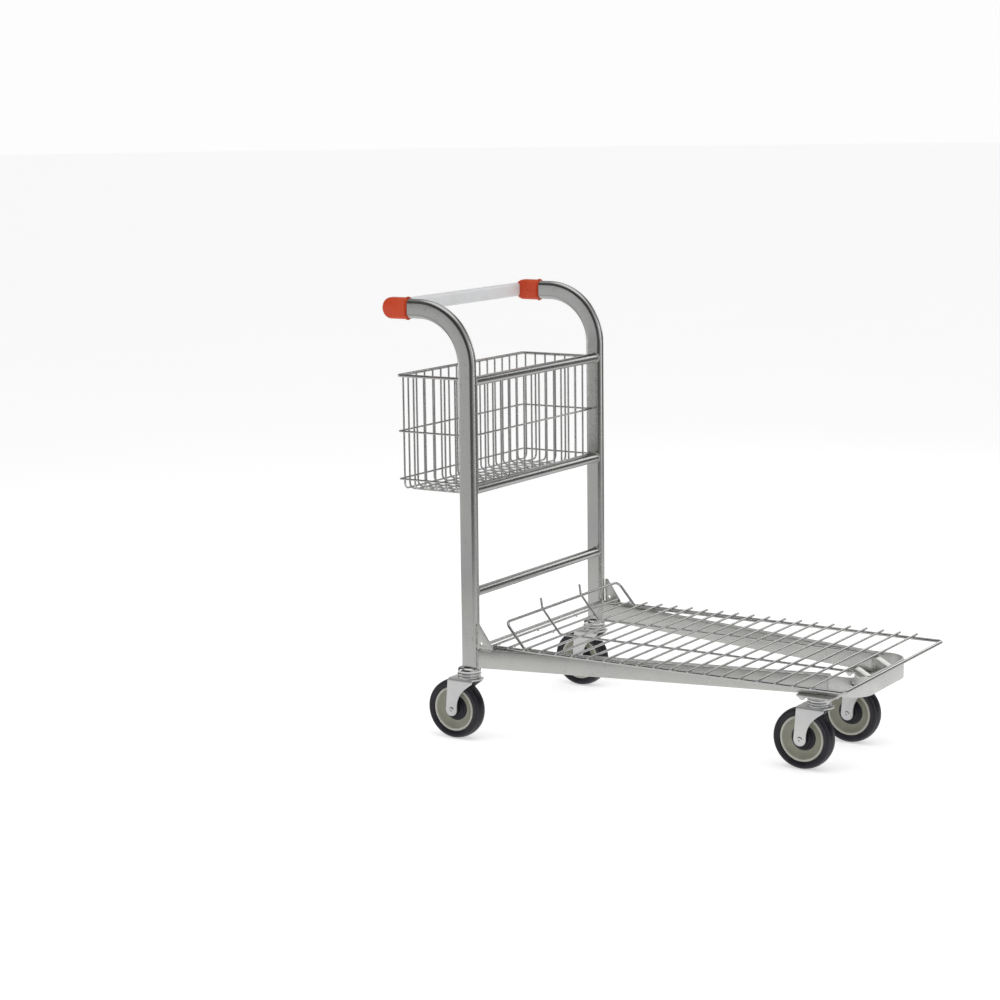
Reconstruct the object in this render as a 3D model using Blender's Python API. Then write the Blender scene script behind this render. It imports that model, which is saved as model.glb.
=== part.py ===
"""Nesting luggage trolley: bent uprights with a wire basket, a hinged wire deck and four swivel casters.

Metres, +Z up, +X forwards (from the handle to the front of the deck), the origin on the floor under the
middle of the trolley. Lengthwise places below are measured from the plane of the uprights.
"""
import bpy
import bmesh
from math import cos, sin, pi, radians
from mathutils import Matrix, Vector

# Overall sizes
WIDTH = 0.536             # outer faces of the uprights
HANDLE_HEIGHT = 0.888     # centre of the handle arms
HANDLE_REACH = 0.200      # rear of the handle, behind the uprights
DECK_REACH = 0.8295       # front of the deck, before the uprights
CHASSIS_HEIGHT = 0.155    # underside of the rails
GAP = 0.0003              # between touching pieces

# Flat oval tube of the uprights
TUBE_DEPTH = 0.040
TUBE_WALL_SIDE = 0.020
BEND_RADIUS = 0.112

# Handle
CAP_WALL = 0.002
CAP_LENGTH = 0.061
CAP_OVERLAP = 0.034
BAR_HEIGHT = 0.030
BAR_THICKNESS = 0.014
BAR_INSET = 0.001

# Cross tubes
CROSS_RADIUS = 0.010
CROSS_X = 0.006
LOW_TUBE_Z = 0.310
BASKET_FLOOR_TUBE_Z = 0.522
BASKET_TOP_TUBE_Z = 0.744

# Wire basket
BASKET_DEPTH = 0.157
BASKET_TOP_Z = 0.747
BASKET_FLOOR_Z = 0.509
BASKET_RINGS_Z = (0.631, 0.531)
BASKET_SIDE_GAP = 0.0035
SIDE_WIRES = 6
SIDE_WIRE_PITCH = 0.0255
FIRST_SIDE_WIRE = 0.008   # before the rear panel
CROSSWAYS_WIRES = 15
CROSSWAYS_WIRE_PITCH = 0.0305
BASKET_WIRE = 0.004
RIM_WIRE = 0.0066

# Chassis
RAIL_HEIGHT = 0.040
RAIL_WIDTH = 0.020
RAIL_INSET = 0.001        # its outer face at the rear, behind the upright's
BOW_FRONT_X = 0.810
BOW_HALF_WIDTH = 0.118
BOW_CORNER = 0.045
BOW_THICKNESS = 0.004
BOW_LEG = 0.030
GUSSET_LENGTH = 0.038
GUSSET_HEIGHT = 0.052
GUSSET_THICKNESS = 0.003
GUSSET_INSET = 0.0005     # behind the rail's outer face
GUSSET_NIB = 0.006        # length of its two cut corners
GUSSET_HOLE = (0.010, 0.012)
GUSSET_HOLE_RADIUS = 0.003
PLATE_THICKNESS = 0.004
PLATE_LENGTH = 0.078
PLATE_WIDTH = 0.060

# Deck
DECK_REAR_X = 0.022
DECK_HALF_WIDTH = 0.245
DECK_WIRE = 0.007
CROSS_WIRE = 0.005
LAST_CROSS_WIRE_X = 0.764
CROSS_WIRE_PITCH = 0.0374
CROSS_WIRES = 20
WIRE_TIP = 0.017
HINGE_X = 0.788
HINGE_DROP = 0.015        # hinge axis below the top of the rails
HINGE_RADIUS = 0.004
LUG_Y = 0.050
LUG_WIDTH = 0.022
LUG_WALL = 0.0035
PIN_HEAD = 0.0075
PIN_HEAD_LENGTH = 0.005
PIN_DOME = 0.7            # share of the head's radius left at its tip
DECK_CORNER = 0.010

# Stop wires at the rear of the deck
STOP_Y = 0.233
STOP_FOOT_X = 0.114
STOP_LEAN = 0.044
STOP_RISE = 0.052
STOP_LEG = 0.300
STOP_WIRE = 0.006
STOP_CORNER = 0.014
MIDDLE_WIRE_Y = 0.080
MIDDLE_WIRE_TIP = 0.020
MIDDLE_WIRE_CORNER = 0.008
MIDDLE_TIP_LEAN = 0.003

# Casters
WHEEL_RADIUS = 0.0625
TYRE_WIDTH = 0.032
TYRE_THICKNESS = 0.0155
HUB_RADIUS = 0.026
RIM_WIDTH = 0.026
TRAIL = 0.032
AXLE_RADIUS = 0.005
AXLE_HEAD_RADIUS = 0.0085
AXLE_HEAD_LENGTH = 0.0035
FORK_CLEAR = 0.0035
FORK_WALL = 0.0026
FORK_END_RADIUS = 0.013
FORK_TOP_Z = 0.131
FORK_REAR = 0.040         # behind the swivel axis, at the fork's top
FORK_FRONT = 0.030
FORK_CROWN = 0.95         # share of the height where the front edge reaches its full length
FORK_CURVE = 0.55
HOUSING_RADIUS = 0.025
REAR_CASTER_X = -0.005
FRONT_CASTER_X = 0.716
FRONT_CASTER_Y = 0.113
WHEEL_SIDES = 24
HEAD_SIDES = 16
PIN_SIDES = 12
POLE = 0.0008             # radius left open at the middle of a turned end

INNER_Y = WIDTH / 2 - TUBE_WALL_SIDE
RAIL_REAR_OUTER_Y = WIDTH / 2 - RAIL_INSET
RAIL_TOP = CHASSIS_HEIGHT + RAIL_HEIGHT
HINGE_Z = RAIL_TOP - HINGE_DROP
FRAME_WIRE_Z = RAIL_TOP + GAP + DECK_WIRE / 2
GRID_Z = FRAME_WIRE_Z + DECK_WIRE / 2 + GAP + CROSS_WIRE / 2


def clear_scene():
    for old in list(bpy.data.objects):
        bpy.data.objects.remove(old, do_unlink=True)


def material(name, colour, roughness, metallic):
    made = bpy.data.materials.new(name)
    made.use_nodes = True
    shader = made.node_tree.nodes["Principled BSDF"]
    shader.inputs["Base Color"].default_value = (*colour, 1)
    shader.inputs["Roughness"].default_value = roughness
    shader.inputs["Metallic"].default_value = metallic
    return made


def empty(name, place, parent=None):
    made = bpy.data.objects.new(name, None)
    bpy.context.collection.objects.link(made)
    made.location = place
    made.parent = parent
    return made


def add_object(name, bm, look, parent, place=(0, 0, 0), sharp=30):
    mesh = bpy.data.meshes.new(name)
    bmesh.ops.recalc_face_normals(bm, faces=bm.faces)
    bm.to_mesh(mesh)
    bm.free()
    mesh.shade_smooth()
    mesh.set_sharp_from_angle(angle=radians(sharp))
    mesh.materials.append(look)
    made = bpy.data.objects.new(name, mesh)
    bpy.context.collection.objects.link(made)
    made.parent = parent
    made.location = place
    return made


def box(name, low, high, look, parent):
    """A plain block between two corners, in the parent's space."""
    bm = bmesh.new()
    bmesh.ops.create_cube(bm, size=1)
    size = Vector(high) - Vector(low)
    bmesh.ops.scale(bm, vec=size, verts=bm.verts)
    return add_object(name, bm, look, parent, (Vector(low) + Vector(high)) / 2)


def sweep(name, outline, stations, look, parent, place=(0, 0, 0)):
    """One closed outline carried through a list of matrices, with flat ends."""
    bm = bmesh.new()
    rings = [[bm.verts.new(station @ Vector((u, v, 0))) for u, v in outline] for station in stations]
    count = len(outline)
    for near, far in zip(rings, rings[1:]):
        for i in range(count):
            j = (i + 1) % count
            bm.faces.new((near[i], near[j], far[j], far[i]))
    bm.faces.new(rings[0])
    bm.faces.new(rings[-1])
    return add_object(name, bm, look, parent, place)


def turned(name, profile, look, parent, place, axis="Z", sides=WHEEL_SIDES, turn=0.0):
    """A closed (radius, height) profile turned about its axis."""
    bm = bmesh.new()
    ring = [bm.verts.new((radius, 0, height)) for radius, height in profile]
    edges = [bm.edges.new((ring[i], ring[(i + 1) % len(ring)])) for i in range(len(ring))]
    bmesh.ops.spin(bm, geom=ring + edges, cent=(0, 0, 0), axis=(0, 0, 1), angle=2 * pi, steps=sides)
    bmesh.ops.remove_doubles(bm, verts=bm.verts, dist=1e-6)
    bmesh.ops.rotate(bm, verts=bm.verts, matrix=Matrix.Rotation(turn, 3, "Z"))
    if axis == "Y":
        bmesh.ops.rotate(bm, verts=bm.verts, matrix=Matrix.Rotation(pi / 2, 3, "X"))
    return add_object(name, bm, look, parent, place)


def turned_pin(name, half, look, parent, place):
    """A solid pin along Y with the same head at both ends, from one half's (radius, height) profile."""
    profile = [(radius, -height) for radius, height in reversed(half)] + half
    bm = bmesh.new()
    ring = [bm.verts.new((radius, 0, height)) for radius, height in profile]
    edges = [bm.edges.new(pair) for pair in zip(ring, ring[1:])]
    bmesh.ops.spin(bm, geom=ring + edges, cent=(0, 0, 0), axis=(0, 0, 1), angle=2 * pi, steps=PIN_SIDES)
    bmesh.ops.remove_doubles(bm, verts=bm.verts, dist=1e-6)
    bmesh.ops.holes_fill(bm, edges=bm.edges, sides=PIN_SIDES)
    bmesh.ops.rotate(bm, verts=bm.verts, matrix=Matrix.Rotation(pi / 2, 3, "X"))
    return add_object(name, bm, look, parent, place)


def rounded(points, radius, steps=3):
    """The same path with its inner corners replaced by arcs of one radius."""
    path = [Vector(points[0])]
    for before, corner, after in zip(points, points[1:], points[2:]):
        before, corner, after = Vector(before), Vector(corner), Vector(after)
        arrive, leave = (corner - before).normalized(), (after - corner).normalized()
        half = arrive.angle(leave) / 2
        cut = radius * sin(half) / cos(half)
        start = corner - arrive * cut
        centre = corner + (leave - arrive).normalized() * radius / cos(half)
        normal = arrive.cross(leave).normalized()
        for k in range(steps + 1):
            path.append(centre + Matrix.Rotation(2 * half * k / steps, 3, normal) @ (start - centre))
    path.append(Vector(points[-1]))
    return path


def wire(name, path, thickness, look, parent, closed=False, sides=6):
    """A round wire or tube along a path, as a curve with filled ends."""
    curve = bpy.data.curves.new(name, "CURVE")
    curve.dimensions = "3D"
    curve.bevel_depth = thickness / 2
    curve.bevel_resolution = (sides - 4) // 2
    curve.use_fill_caps = True
    spline = curve.splines.new("POLY")
    spline.points.add(len(path) - 1)
    for point, spot in zip(spline.points, path):
        point.co = (*spot, 1)
    spline.use_cyclic_u = closed
    curve.materials.append(look)
    made = bpy.data.objects.new(name, curve)
    bpy.context.collection.objects.link(made)
    made.parent = parent
    return made


def lattice(name, rows, columns, thickness, plane, look, parent, place):
    """Crossing flat bars in one plane as one solid.

    rows run along u and columns along v. Each is (centre, width, start, end).
    """
    def marks(bars, crossing):
        spots = {centre + side * width / 2 for centre, width, _, _ in bars for side in (-1, 1)}
        spots |= {end for _, _, *ends in crossing for end in ends}
        return sorted(spots)

    def covered(u, v):
        in_row = any(abs(v - centre) < width / 2 and low < u < high for centre, width, low, high in rows)
        return in_row or any(abs(u - centre) < width / 2 and low < v < high
                             for centre, width, low, high in columns)

    us, vs = marks(columns, rows), marks(rows, columns)
    us = [u for i, u in enumerate(us) if i == 0 or u - us[i - 1] > 1e-6]
    vs = [v for i, v in enumerate(vs) if i == 0 or v - vs[i - 1] > 1e-6]
    bm = bmesh.new()
    corners = {}

    def corner(i, j):
        if (i, j) not in corners:
            corners[i, j] = bm.verts.new((us[i], vs[j], 0))
        return corners[i, j]

    for i in range(len(us) - 1):
        for j in range(len(vs) - 1):
            if covered((us[i] + us[i + 1]) / 2, (vs[j] + vs[j + 1]) / 2):
                bm.faces.new((corner(i, j), corner(i + 1, j), corner(i + 1, j + 1), corner(i, j + 1)))
    sheet = list(bm.faces)
    bmesh.ops.translate(bm, verts=bm.verts, vec=(0, 0, -thickness / 2))
    lifted = bmesh.ops.extrude_face_region(bm, geom=sheet, use_keep_orig=True)
    raised = [item for item in lifted["geom"] if isinstance(item, bmesh.types.BMVert)]
    bmesh.ops.translate(bm, verts=raised, vec=(0, 0, thickness))
    turn = {"XY": Matrix(), "XZ": Matrix.Rotation(pi / 2, 4, "X"),
            "YZ": Matrix(((0, 0, 1, 0), (1, 0, 0, 0), (0, 1, 0, 0), (0, 0, 0, 1)))}[plane]
    bmesh.ops.transform(bm, matrix=turn, verts=bm.verts)
    return add_object(name, bm, look, parent, place)


def cutter(name, bm, parent, place):
    made = add_object(name, bm, bpy.data.materials[0], parent, place)
    made.hide_render = True
    made.display_type = "WIRE"
    return made


def cut(target, tool):
    step = target.modifiers.new("cut", "BOOLEAN")
    step.operation = "DIFFERENCE"
    step.solver = "EXACT"
    step.object = tool


def drill(target, radius, depth, parent, place):
    """A round hole right through, along Y."""
    bm = bmesh.new()
    bmesh.ops.create_cone(bm, cap_ends=True, segments=PIN_SIDES, radius1=radius, radius2=radius, depth=depth)
    bmesh.ops.rotate(bm, verts=bm.verts, matrix=Matrix.Rotation(pi / 2, 3, "X"))
    cut(target, cutter(target.name + "_drill", bm, parent, place))


def flat_oval(length, width, steps=6):
    """Outline with straight sides and round ends, long way along u."""
    offset = (length - width) / 2
    points = []
    for side in (1, -1):
        for k in range(steps + 1):
            angle = -pi / 2 + pi * k / steps
            points.append((side * (offset + width / 2 * cos(angle)), side * width / 2 * sin(angle)))
    return points


def rectangle(width, height):
    u, v = width / 2, height / 2
    return [(-u, -v), (u, -v), (u, v), (-u, v)]


def make_upright(name, y, look, parent):
    """Straight up from the caster, then a wide bend back into a level arm."""
    centre_x, centre_z = -BEND_RADIUS, HANDLE_HEIGHT - BEND_RADIUS
    base = Matrix.Translation((0, y, 0))
    stations = [base @ Matrix.Translation((0, 0, CHASSIS_HEIGHT + GAP))]
    steps = 9
    for k in range(steps + 1):
        angle = pi / 2 * k / steps
        spot = (centre_x + BEND_RADIUS * cos(angle), 0, centre_z + BEND_RADIUS * sin(angle))
        stations.append(base @ Matrix.Translation(spot) @ Matrix.Rotation(-angle, 4, "Y"))
    arm_end = -HANDLE_REACH + CAP_LENGTH - CAP_OVERLAP
    stations.append(base @ Matrix.Translation((arm_end, 0, HANDLE_HEIGHT)) @ Matrix.Rotation(-pi / 2, 4, "Y"))
    sweep(name, flat_oval(TUBE_DEPTH, TUBE_WALL_SIDE), stations, look, parent)


def make_cap(name, y, look, parent):
    """Corner sleeve: square at its mouth, half round at its rear end, hollow for the arm."""
    height = TUBE_DEPTH + 2 * CAP_WALL
    width = TUBE_WALL_SIDE + 2 * CAP_WALL
    mouth = -HANDLE_REACH + CAP_LENGTH
    centre = -HANDLE_REACH + height / 2
    outline = [(mouth, -height / 2), (mouth, height / 2)]
    steps = 10
    for k in range(steps + 1):
        angle = pi / 2 + pi * k / steps
        outline.append((centre + height / 2 * cos(angle), height / 2 * sin(angle)))
    upright = Matrix.Rotation(pi / 2, 4, "X")
    stations = [Matrix.Translation((0, side * width / 2, 0)) @ upright for side in (-1, 1)]
    cap = sweep(name, outline, stations, look, parent, (0, y, HANDLE_HEIGHT))
    bm = bmesh.new()
    pocket = flat_oval(TUBE_DEPTH + 2 * GAP, TUBE_WALL_SIDE + 2 * GAP)
    depth = CAP_OVERLAP + GAP
    ring = [bm.verts.new((0, v, u)) for u, v in pocket]
    face = bm.faces.new(ring)
    grown = bmesh.ops.extrude_face_region(bm, geom=[face], use_keep_orig=True)
    moved = [item for item in grown["geom"] if isinstance(item, bmesh.types.BMVert)]
    bmesh.ops.translate(bm, verts=moved, vec=(depth + CAP_LENGTH, 0, 0))
    tool = cutter(name + "_pocket", bm, parent, (mouth - depth, y, HANDLE_HEIGHT))
    cut(cap, tool)


def make_handle(looks, frame):
    arm_y = WIDTH / 2 - TUBE_WALL_SIDE / 2
    for side, y in (("left", arm_y), ("right", -arm_y)):
        make_upright("upright_" + side, y, looks["zinc"], frame)
        make_cap("handle_cap_" + side, y, looks["orange"], frame)
    half = INNER_Y - CAP_WALL - GAP
    bar_x = -HANDLE_REACH + BAR_INSET + BAR_THICKNESS / 2
    across = Matrix.Rotation(pi / 2, 4, "X") @ Matrix.Rotation(pi / 2, 4, "Z")
    stations = [Matrix.Translation((bar_x, side * half, HANDLE_HEIGHT)) @ across for side in (-1, 1)]
    sweep("handle_bar", flat_oval(BAR_HEIGHT, BAR_THICKNESS), stations, looks["pale"], frame)


def make_cross_tubes(looks, frame):
    half = INNER_Y - GAP
    for name, z in (("cross_tube_low", LOW_TUBE_Z), ("cross_tube_floor", BASKET_FLOOR_TUBE_Z),
                    ("cross_tube_top", BASKET_TOP_TUBE_Z)):
        path = [(CROSS_X, -half, z), (CROSS_X, half, z)]
        wire(name, path, 2 * CROSS_RADIUS, looks["zinc"], frame, sides=12)


def make_basket(looks, frame):
    """Five flat wire panels: each side, rear, front and floor."""
    rear_x = -TUBE_DEPTH / 2 - BASKET_DEPTH
    front_x = CROSS_X - CROSS_RADIUS - GAP - BASKET_WIRE / 2
    side_y = INNER_Y - BASKET_SIDE_GAP - BASKET_WIRE / 2
    inner_low = BASKET_FLOOR_Z + BASKET_WIRE / 2 + GAP
    rings = [(z, BASKET_WIRE) for z in BASKET_RINGS_Z] + [(BASKET_TOP_Z, RIM_WIRE)]
    top = BASKET_TOP_Z + RIM_WIRE / 2

    def panel(name, verticals, half_span, centre, plane, place, bars):
        rows = [(z, wide, centre - half_span, centre + half_span) for z, wide in bars]
        columns = [(spot, BASKET_WIRE, inner_low, top) for spot in verticals]
        lattice(name, rows, columns, BASKET_WIRE, plane, looks["wire"], frame, place)

    crossways = [(k - (CROSSWAYS_WIRES - 1) / 2) * CROSSWAYS_WIRE_PITCH for k in range(CROSSWAYS_WIRES)]
    lengthways = [rear_x + FIRST_SIDE_WIRE + k * SIDE_WIRE_PITCH for k in range(SIDE_WIRES)]
    half_width = side_y - BASKET_WIRE / 2 - GAP
    for side, y in (("left", side_y), ("right", -side_y)):
        start, end = rear_x - BASKET_WIRE / 2, front_x - BASKET_WIRE / 2 - GAP
        panel("basket_side_" + side, lengthways, (end - start) / 2, (start + end) / 2, "XZ", (0, y, 0), rings)
    panel("basket_rear", crossways, half_width, 0, "YZ", (rear_x, 0, 0), rings)
    front_bars = rings[:2] + [(BASKET_TOP_Z - RIM_WIRE, BASKET_WIRE)]
    panel("basket_front", crossways, half_width, 0, "YZ", (front_x, 0, 0), front_bars)
    rows = [(y, BASKET_WIRE, rear_x, front_x) for y in crossways]
    ends = side_y + BASKET_WIRE / 2
    columns = [(x, BASKET_WIRE, -ends, ends) for x in lengthways]
    lattice("basket_floor", rows, columns, BASKET_WIRE, "XY", looks["wire"], frame, (0, 0, BASKET_FLOOR_Z))


def make_chassis(looks, frame):
    """Rails that run inwards to a bow at the front, with a gusset at each upright."""
    rear_x = TUBE_DEPTH / 2 + 2 * GAP
    front_x = BOW_FRONT_X - BOW_CORNER - BOW_LEG
    for side, sign in (("left", 1), ("right", -1)):
        rear = Vector((rear_x, sign * (RAIL_REAR_OUTER_Y - RAIL_WIDTH / 2), 0))
        front = Vector((front_x, sign * (BOW_HALF_WIDTH - RAIL_WIDTH / 2), 0))
        stations = []
        for spot in (rear, front):
            centre = Matrix.Translation((spot.x, spot.y, CHASSIS_HEIGHT + RAIL_HEIGHT / 2))
            stations.append(centre @ Matrix(((0, 0, 1, 0), (1, 0, 0, 0), (0, 1, 0, 0), (0, 0, 0, 1))))
        sweep("rail_" + side, rectangle(RAIL_WIDTH, RAIL_HEIGHT), stations, looks["plate"], frame)
        make_gusset("gusset_" + side, sign, looks["plate"], frame)
    make_bow(front_x + GAP, looks["plate"], frame)


def make_gusset(name, sign, look, frame):
    """Three cornered plate with its corners cut, standing on the rail against the upright."""
    start, foot = TUBE_DEPTH / 2 + GAP, RAIL_TOP + GAP
    outline = [(start, foot), (start + GUSSET_LENGTH, foot), (start + GUSSET_LENGTH, foot + GUSSET_NIB),
               (start + GUSSET_NIB, foot + GUSSET_HEIGHT), (start, foot + GUSSET_HEIGHT)]
    outer = RAIL_REAR_OUTER_Y - GUSSET_INSET
    upright = Matrix.Rotation(pi / 2, 4, "X")
    edges = (sign * outer, sign * (outer - GUSSET_THICKNESS))
    stations = [Matrix.Translation((0, y, 0)) @ upright for y in edges]
    plate = sweep(name, outline, stations, look, frame)
    along, up = GUSSET_HOLE
    place = (start + along, sign * (outer - GUSSET_THICKNESS / 2), foot + up)
    drill(plate, GUSSET_HOLE_RADIUS, 4 * GUSSET_THICKNESS, frame, place)


def make_bow(start_x, look, frame):
    """Upright band bent round the front of the chassis, with a hole each side for the hinge pin."""
    mid = BOW_HALF_WIDTH - BOW_THICKNESS / 2
    front = BOW_FRONT_X - BOW_THICKNESS / 2
    corners = [(start_x, -mid, 0), (front, -mid, 0), (front, mid, 0), (start_x, mid, 0)]
    path = rounded(corners, BOW_CORNER - BOW_THICKNESS / 2, 6)
    stations = []
    for i, spot in enumerate(path):
        ahead = (path[min(i + 1, len(path) - 1)] - spot).normalized()
        behind = (spot - path[max(i - 1, 0)]).normalized()
        along = (ahead + behind).normalized()
        across = Vector((along.y, -along.x, 0))
        centre = Vector((spot.x, spot.y, CHASSIS_HEIGHT + RAIL_HEIGHT / 2))
        turn = Matrix((across, Vector((0, 0, 1)), along)).transposed().to_4x4()
        stations.append(Matrix.Translation(centre) @ turn)
    bow = sweep("front_bow", rectangle(BOW_THICKNESS, RAIL_HEIGHT), stations, look, frame)
    drill(bow, HINGE_RADIUS + GAP, 3 * BOW_HALF_WIDTH, frame, (HINGE_X, 0, HINGE_Z))


def make_hinge_pin(look, frame):
    """Round pin through the bow, with a domed head outside each face."""
    reach = BOW_HALF_WIDTH + GAP
    shoulder, tip = reach + PIN_HEAD_LENGTH / 2, reach + PIN_HEAD_LENGTH
    half = [(HINGE_RADIUS, reach), (PIN_HEAD, reach), (PIN_HEAD, shoulder), (PIN_HEAD * PIN_DOME, tip)]
    turned_pin("hinge_pin", half, look, frame, (HINGE_X, 0, HINGE_Z))


def make_lug(name, y, look, deck):
    """Strap welded under the last cross wire, with an eye round the hinge pin."""
    inner = HINGE_RADIUS + 2 * GAP
    outer = inner + LUG_WALL
    top = FRAME_WIRE_Z + DECK_WIRE / 2 - HINGE_Z
    tail = LAST_CROSS_WIRE_X - CROSS_WIRE / 2 - HINGE_X
    outline = [(tail, top - LUG_WALL), (tail, top)]
    steps = 8
    first = radians(30)
    for k in range(steps + 1):
        angle = first - (first + pi) * k / steps
        outline.append((outer * cos(angle), outer * sin(angle)))
    upright = Matrix.Rotation(pi / 2, 4, "X")
    stations = [Matrix.Translation((0, side * LUG_WIDTH / 2, 0)) @ upright for side in (-1, 1)]
    lug = sweep(name, outline, stations, look, deck, (0, y, 0))
    drill(lug, inner, 2 * LUG_WIDTH, deck, (0, y, 0))


def make_deck(looks, root):
    """Wire deck on its hinge: everything here is placed from the hinge axis."""
    deck = empty("deck_hinge", (HINGE_X, 0, HINGE_Z), root)
    rear, front = DECK_REAR_X - HINGE_X, DECK_REACH - DECK_WIRE / 2 - HINGE_X
    level, grid = FRAME_WIRE_Z - HINGE_Z, GRID_Z - HINGE_Z
    y = DECK_HALF_WIDTH
    corners = [(rear, 0, level), (rear, y, level), (front, y, level), (front, -y, level), (rear, -y, level),
               (rear, 0, level)]
    loop = rounded(corners, DECK_CORNER, 2)[:-1]
    wire("deck_frame", loop, DECK_WIRE, looks["wire"], deck, closed=True)
    last = LAST_CROSS_WIRE_X - HINGE_X
    spots = [last - k * CROSS_WIRE_PITCH for k in range(CROSS_WIRES)]
    columns = [(x, CROSS_WIRE, -y - WIRE_TIP, y + WIRE_TIP) for x in spots]
    rows = [(side * y, CROSS_WIRE, spots[-1] - CROSS_WIRE, last + CROSS_WIRE) for side in (-1, 1)]
    lattice("deck_grid", rows, columns, CROSS_WIRE, "XY", looks["wire"], deck, (0, 0, grid))
    make_stops(looks["wire"], deck, level, last)
    for side, place in (("left", LUG_Y), ("right", -LUG_Y)):
        make_lug("hinge_lug_" + side, place, looks["zinc"], deck)


def make_stops(look, deck, level, last):
    """The load stop: a bowed wire across the rear, and two long wires that turn up beside it."""
    foot = STOP_FOOT_X - HINGE_X
    low = level - (DECK_WIRE - STOP_WIRE) / 2
    top = (foot - STOP_LEAN, low + STOP_RISE)
    points = []
    for sign in (-1, 1):
        y = sign * STOP_Y
        leg = [(foot + STOP_LEG, y, low), (foot, y, low), (top[0], y, top[1])]
        points += leg if sign < 0 else leg[::-1]
    wire("stop_loop", rounded(points, STOP_CORNER), STOP_WIRE, look, deck)
    for side, y in (("left", MIDDLE_WIRE_Y), ("right", -MIDDLE_WIRE_Y)):
        back = top[0] - STOP_WIRE - GAP
        points = [(last + CROSS_WIRE, y, low), (foot - STOP_WIRE - GAP, y, low), (back, y, top[1]),
                  (back - MIDDLE_TIP_LEAN, y, top[1] + MIDDLE_WIRE_TIP)]
        wire("middle_wire_" + side, rounded(points, MIDDLE_WIRE_CORNER), CROSS_WIRE, look, deck)


def fork_outline():
    """Side of the fork about its axle: broad under the head, round at the axle."""
    end = FORK_END_RADIUS
    top = FORK_TOP_Z - WHEEL_RADIUS
    rear_top = TRAIL - FORK_REAR
    front_top = TRAIL + FORK_FRONT
    outline = [(rear_top, top), (-end, 0)]
    steps = 8
    for k in range(1, steps):
        angle = pi + pi * k / steps
        outline.append((end * cos(angle), end * sin(angle)))
    reach = Vector((front_top - end, top * FORK_CROWN))
    for k in range(steps):
        share = k / (steps - 1)
        outline.append((end + reach.x * share, reach.y * share ** FORK_CURVE))
    outline.append((front_top, top))
    return outline


def make_caster(tag, x, y, top_z, looks, root, frame):
    """Swivel head, fork, axle and wheel, trailing behind the swivel axis."""
    head_top = top_z - GAP
    neck = HOUSING_RADIUS * 0.8
    step = (head_top - FORK_TOP_Z) / 3
    foot, ledge = FORK_TOP_Z + GAP, FORK_TOP_Z + step
    profile = [(POLE, foot), (HOUSING_RADIUS, foot), (HOUSING_RADIUS, ledge), (neck, ledge),
               (neck, head_top - step), (HOUSING_RADIUS, head_top - step),
               (HOUSING_RADIUS * 0.9, head_top), (POLE, head_top)]
    turned("head_" + tag, profile, looks["zinc"], frame, (x, y, 0), sides=HEAD_SIDES)
    swivel = empty("swivel_" + tag, (x, y, 0), root)
    make_fork("fork_" + tag, looks["zinc"], swivel)
    spin = empty("spin_" + tag, (-TRAIL, 0, WHEEL_RADIUS), swivel)
    make_axle("axle_" + tag, looks["zinc"], swivel)
    make_wheel(tag, looks, spin)


def make_fork(name, look, swivel):
    half = TYRE_WIDTH / 2 + FORK_CLEAR + FORK_WALL
    upright = Matrix.Rotation(pi / 2, 4, "X")
    stations = [Matrix.Translation((0, side * half, 0)) @ upright for side in (-1, 1)]
    fork = sweep(name, fork_outline(), stations, look, swivel, (-TRAIL, 0, WHEEL_RADIUS))
    inside = half - FORK_WALL
    bm = bmesh.new()
    bmesh.ops.create_cube(bm, size=1)
    height = 2 * FORK_TOP_Z
    bmesh.ops.scale(bm, vec=(height, 2 * inside, height), verts=bm.verts)
    ceiling = FORK_TOP_Z - FORK_WALL
    cut(fork, cutter(name + "_throat", bm, swivel, (0, 0, ceiling - height / 2)))
    drill(fork, AXLE_RADIUS + GAP, 4 * half, swivel, (-TRAIL, 0, WHEEL_RADIUS))


def make_axle(name, look, swivel):
    reach = TYRE_WIDTH / 2 + FORK_CLEAR + FORK_WALL + GAP
    half = [(AXLE_RADIUS, reach), (AXLE_HEAD_RADIUS, reach), (AXLE_HEAD_RADIUS, reach + AXLE_HEAD_LENGTH)]
    turned_pin(name, half, look, swivel, (-TRAIL, 0, WHEEL_RADIUS))


def make_wheel(tag, looks, spin):
    """Tyre, rim and hub as three turned rings, a corner of the tyre lowest."""
    lowest = pi / 2
    half, seat = TYRE_WIDTH / 2, WHEEL_RADIUS - TYRE_THICKNESS
    shoulder, crown = 0.0045, 0.0015
    tyre = [(seat, -half + shoulder), (WHEEL_RADIUS - shoulder, -half),
            (WHEEL_RADIUS - crown, -half + shoulder), (WHEEL_RADIUS, 0),
            (WHEEL_RADIUS - crown, half - shoulder), (WHEEL_RADIUS - shoulder, half),
            (seat, half - shoulder)]
    turned("tyre_" + tag, tyre, looks["rubber"], spin, (0, 0, 0), axis="Y", turn=lowest)
    edge, web = RIM_WIDTH / 2, RIM_WIDTH / 2 - 0.004
    rim_out, lip = seat - GAP, seat - GAP - 0.004
    bore = HUB_RADIUS + GAP
    rim = [(bore, -web), (lip - 0.002, -web), (lip, -edge), (rim_out, -edge + 0.001),
           (rim_out, edge - 0.001), (lip, edge), (lip - 0.002, web), (bore, web)]
    turned("rim_" + tag, rim, looks["rim"], spin, (0, 0, 0), axis="Y", turn=lowest)
    hub = [(AXLE_RADIUS + GAP, -half), (HUB_RADIUS * 0.6, -half), (HUB_RADIUS, -web - 0.001),
           (HUB_RADIUS, web + 0.001), (HUB_RADIUS * 0.6, half), (AXLE_RADIUS + GAP, half)]
    turned("hub_" + tag, hub, looks["hub"], spin, (0, 0, 0), axis="Y", turn=lowest)


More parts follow.
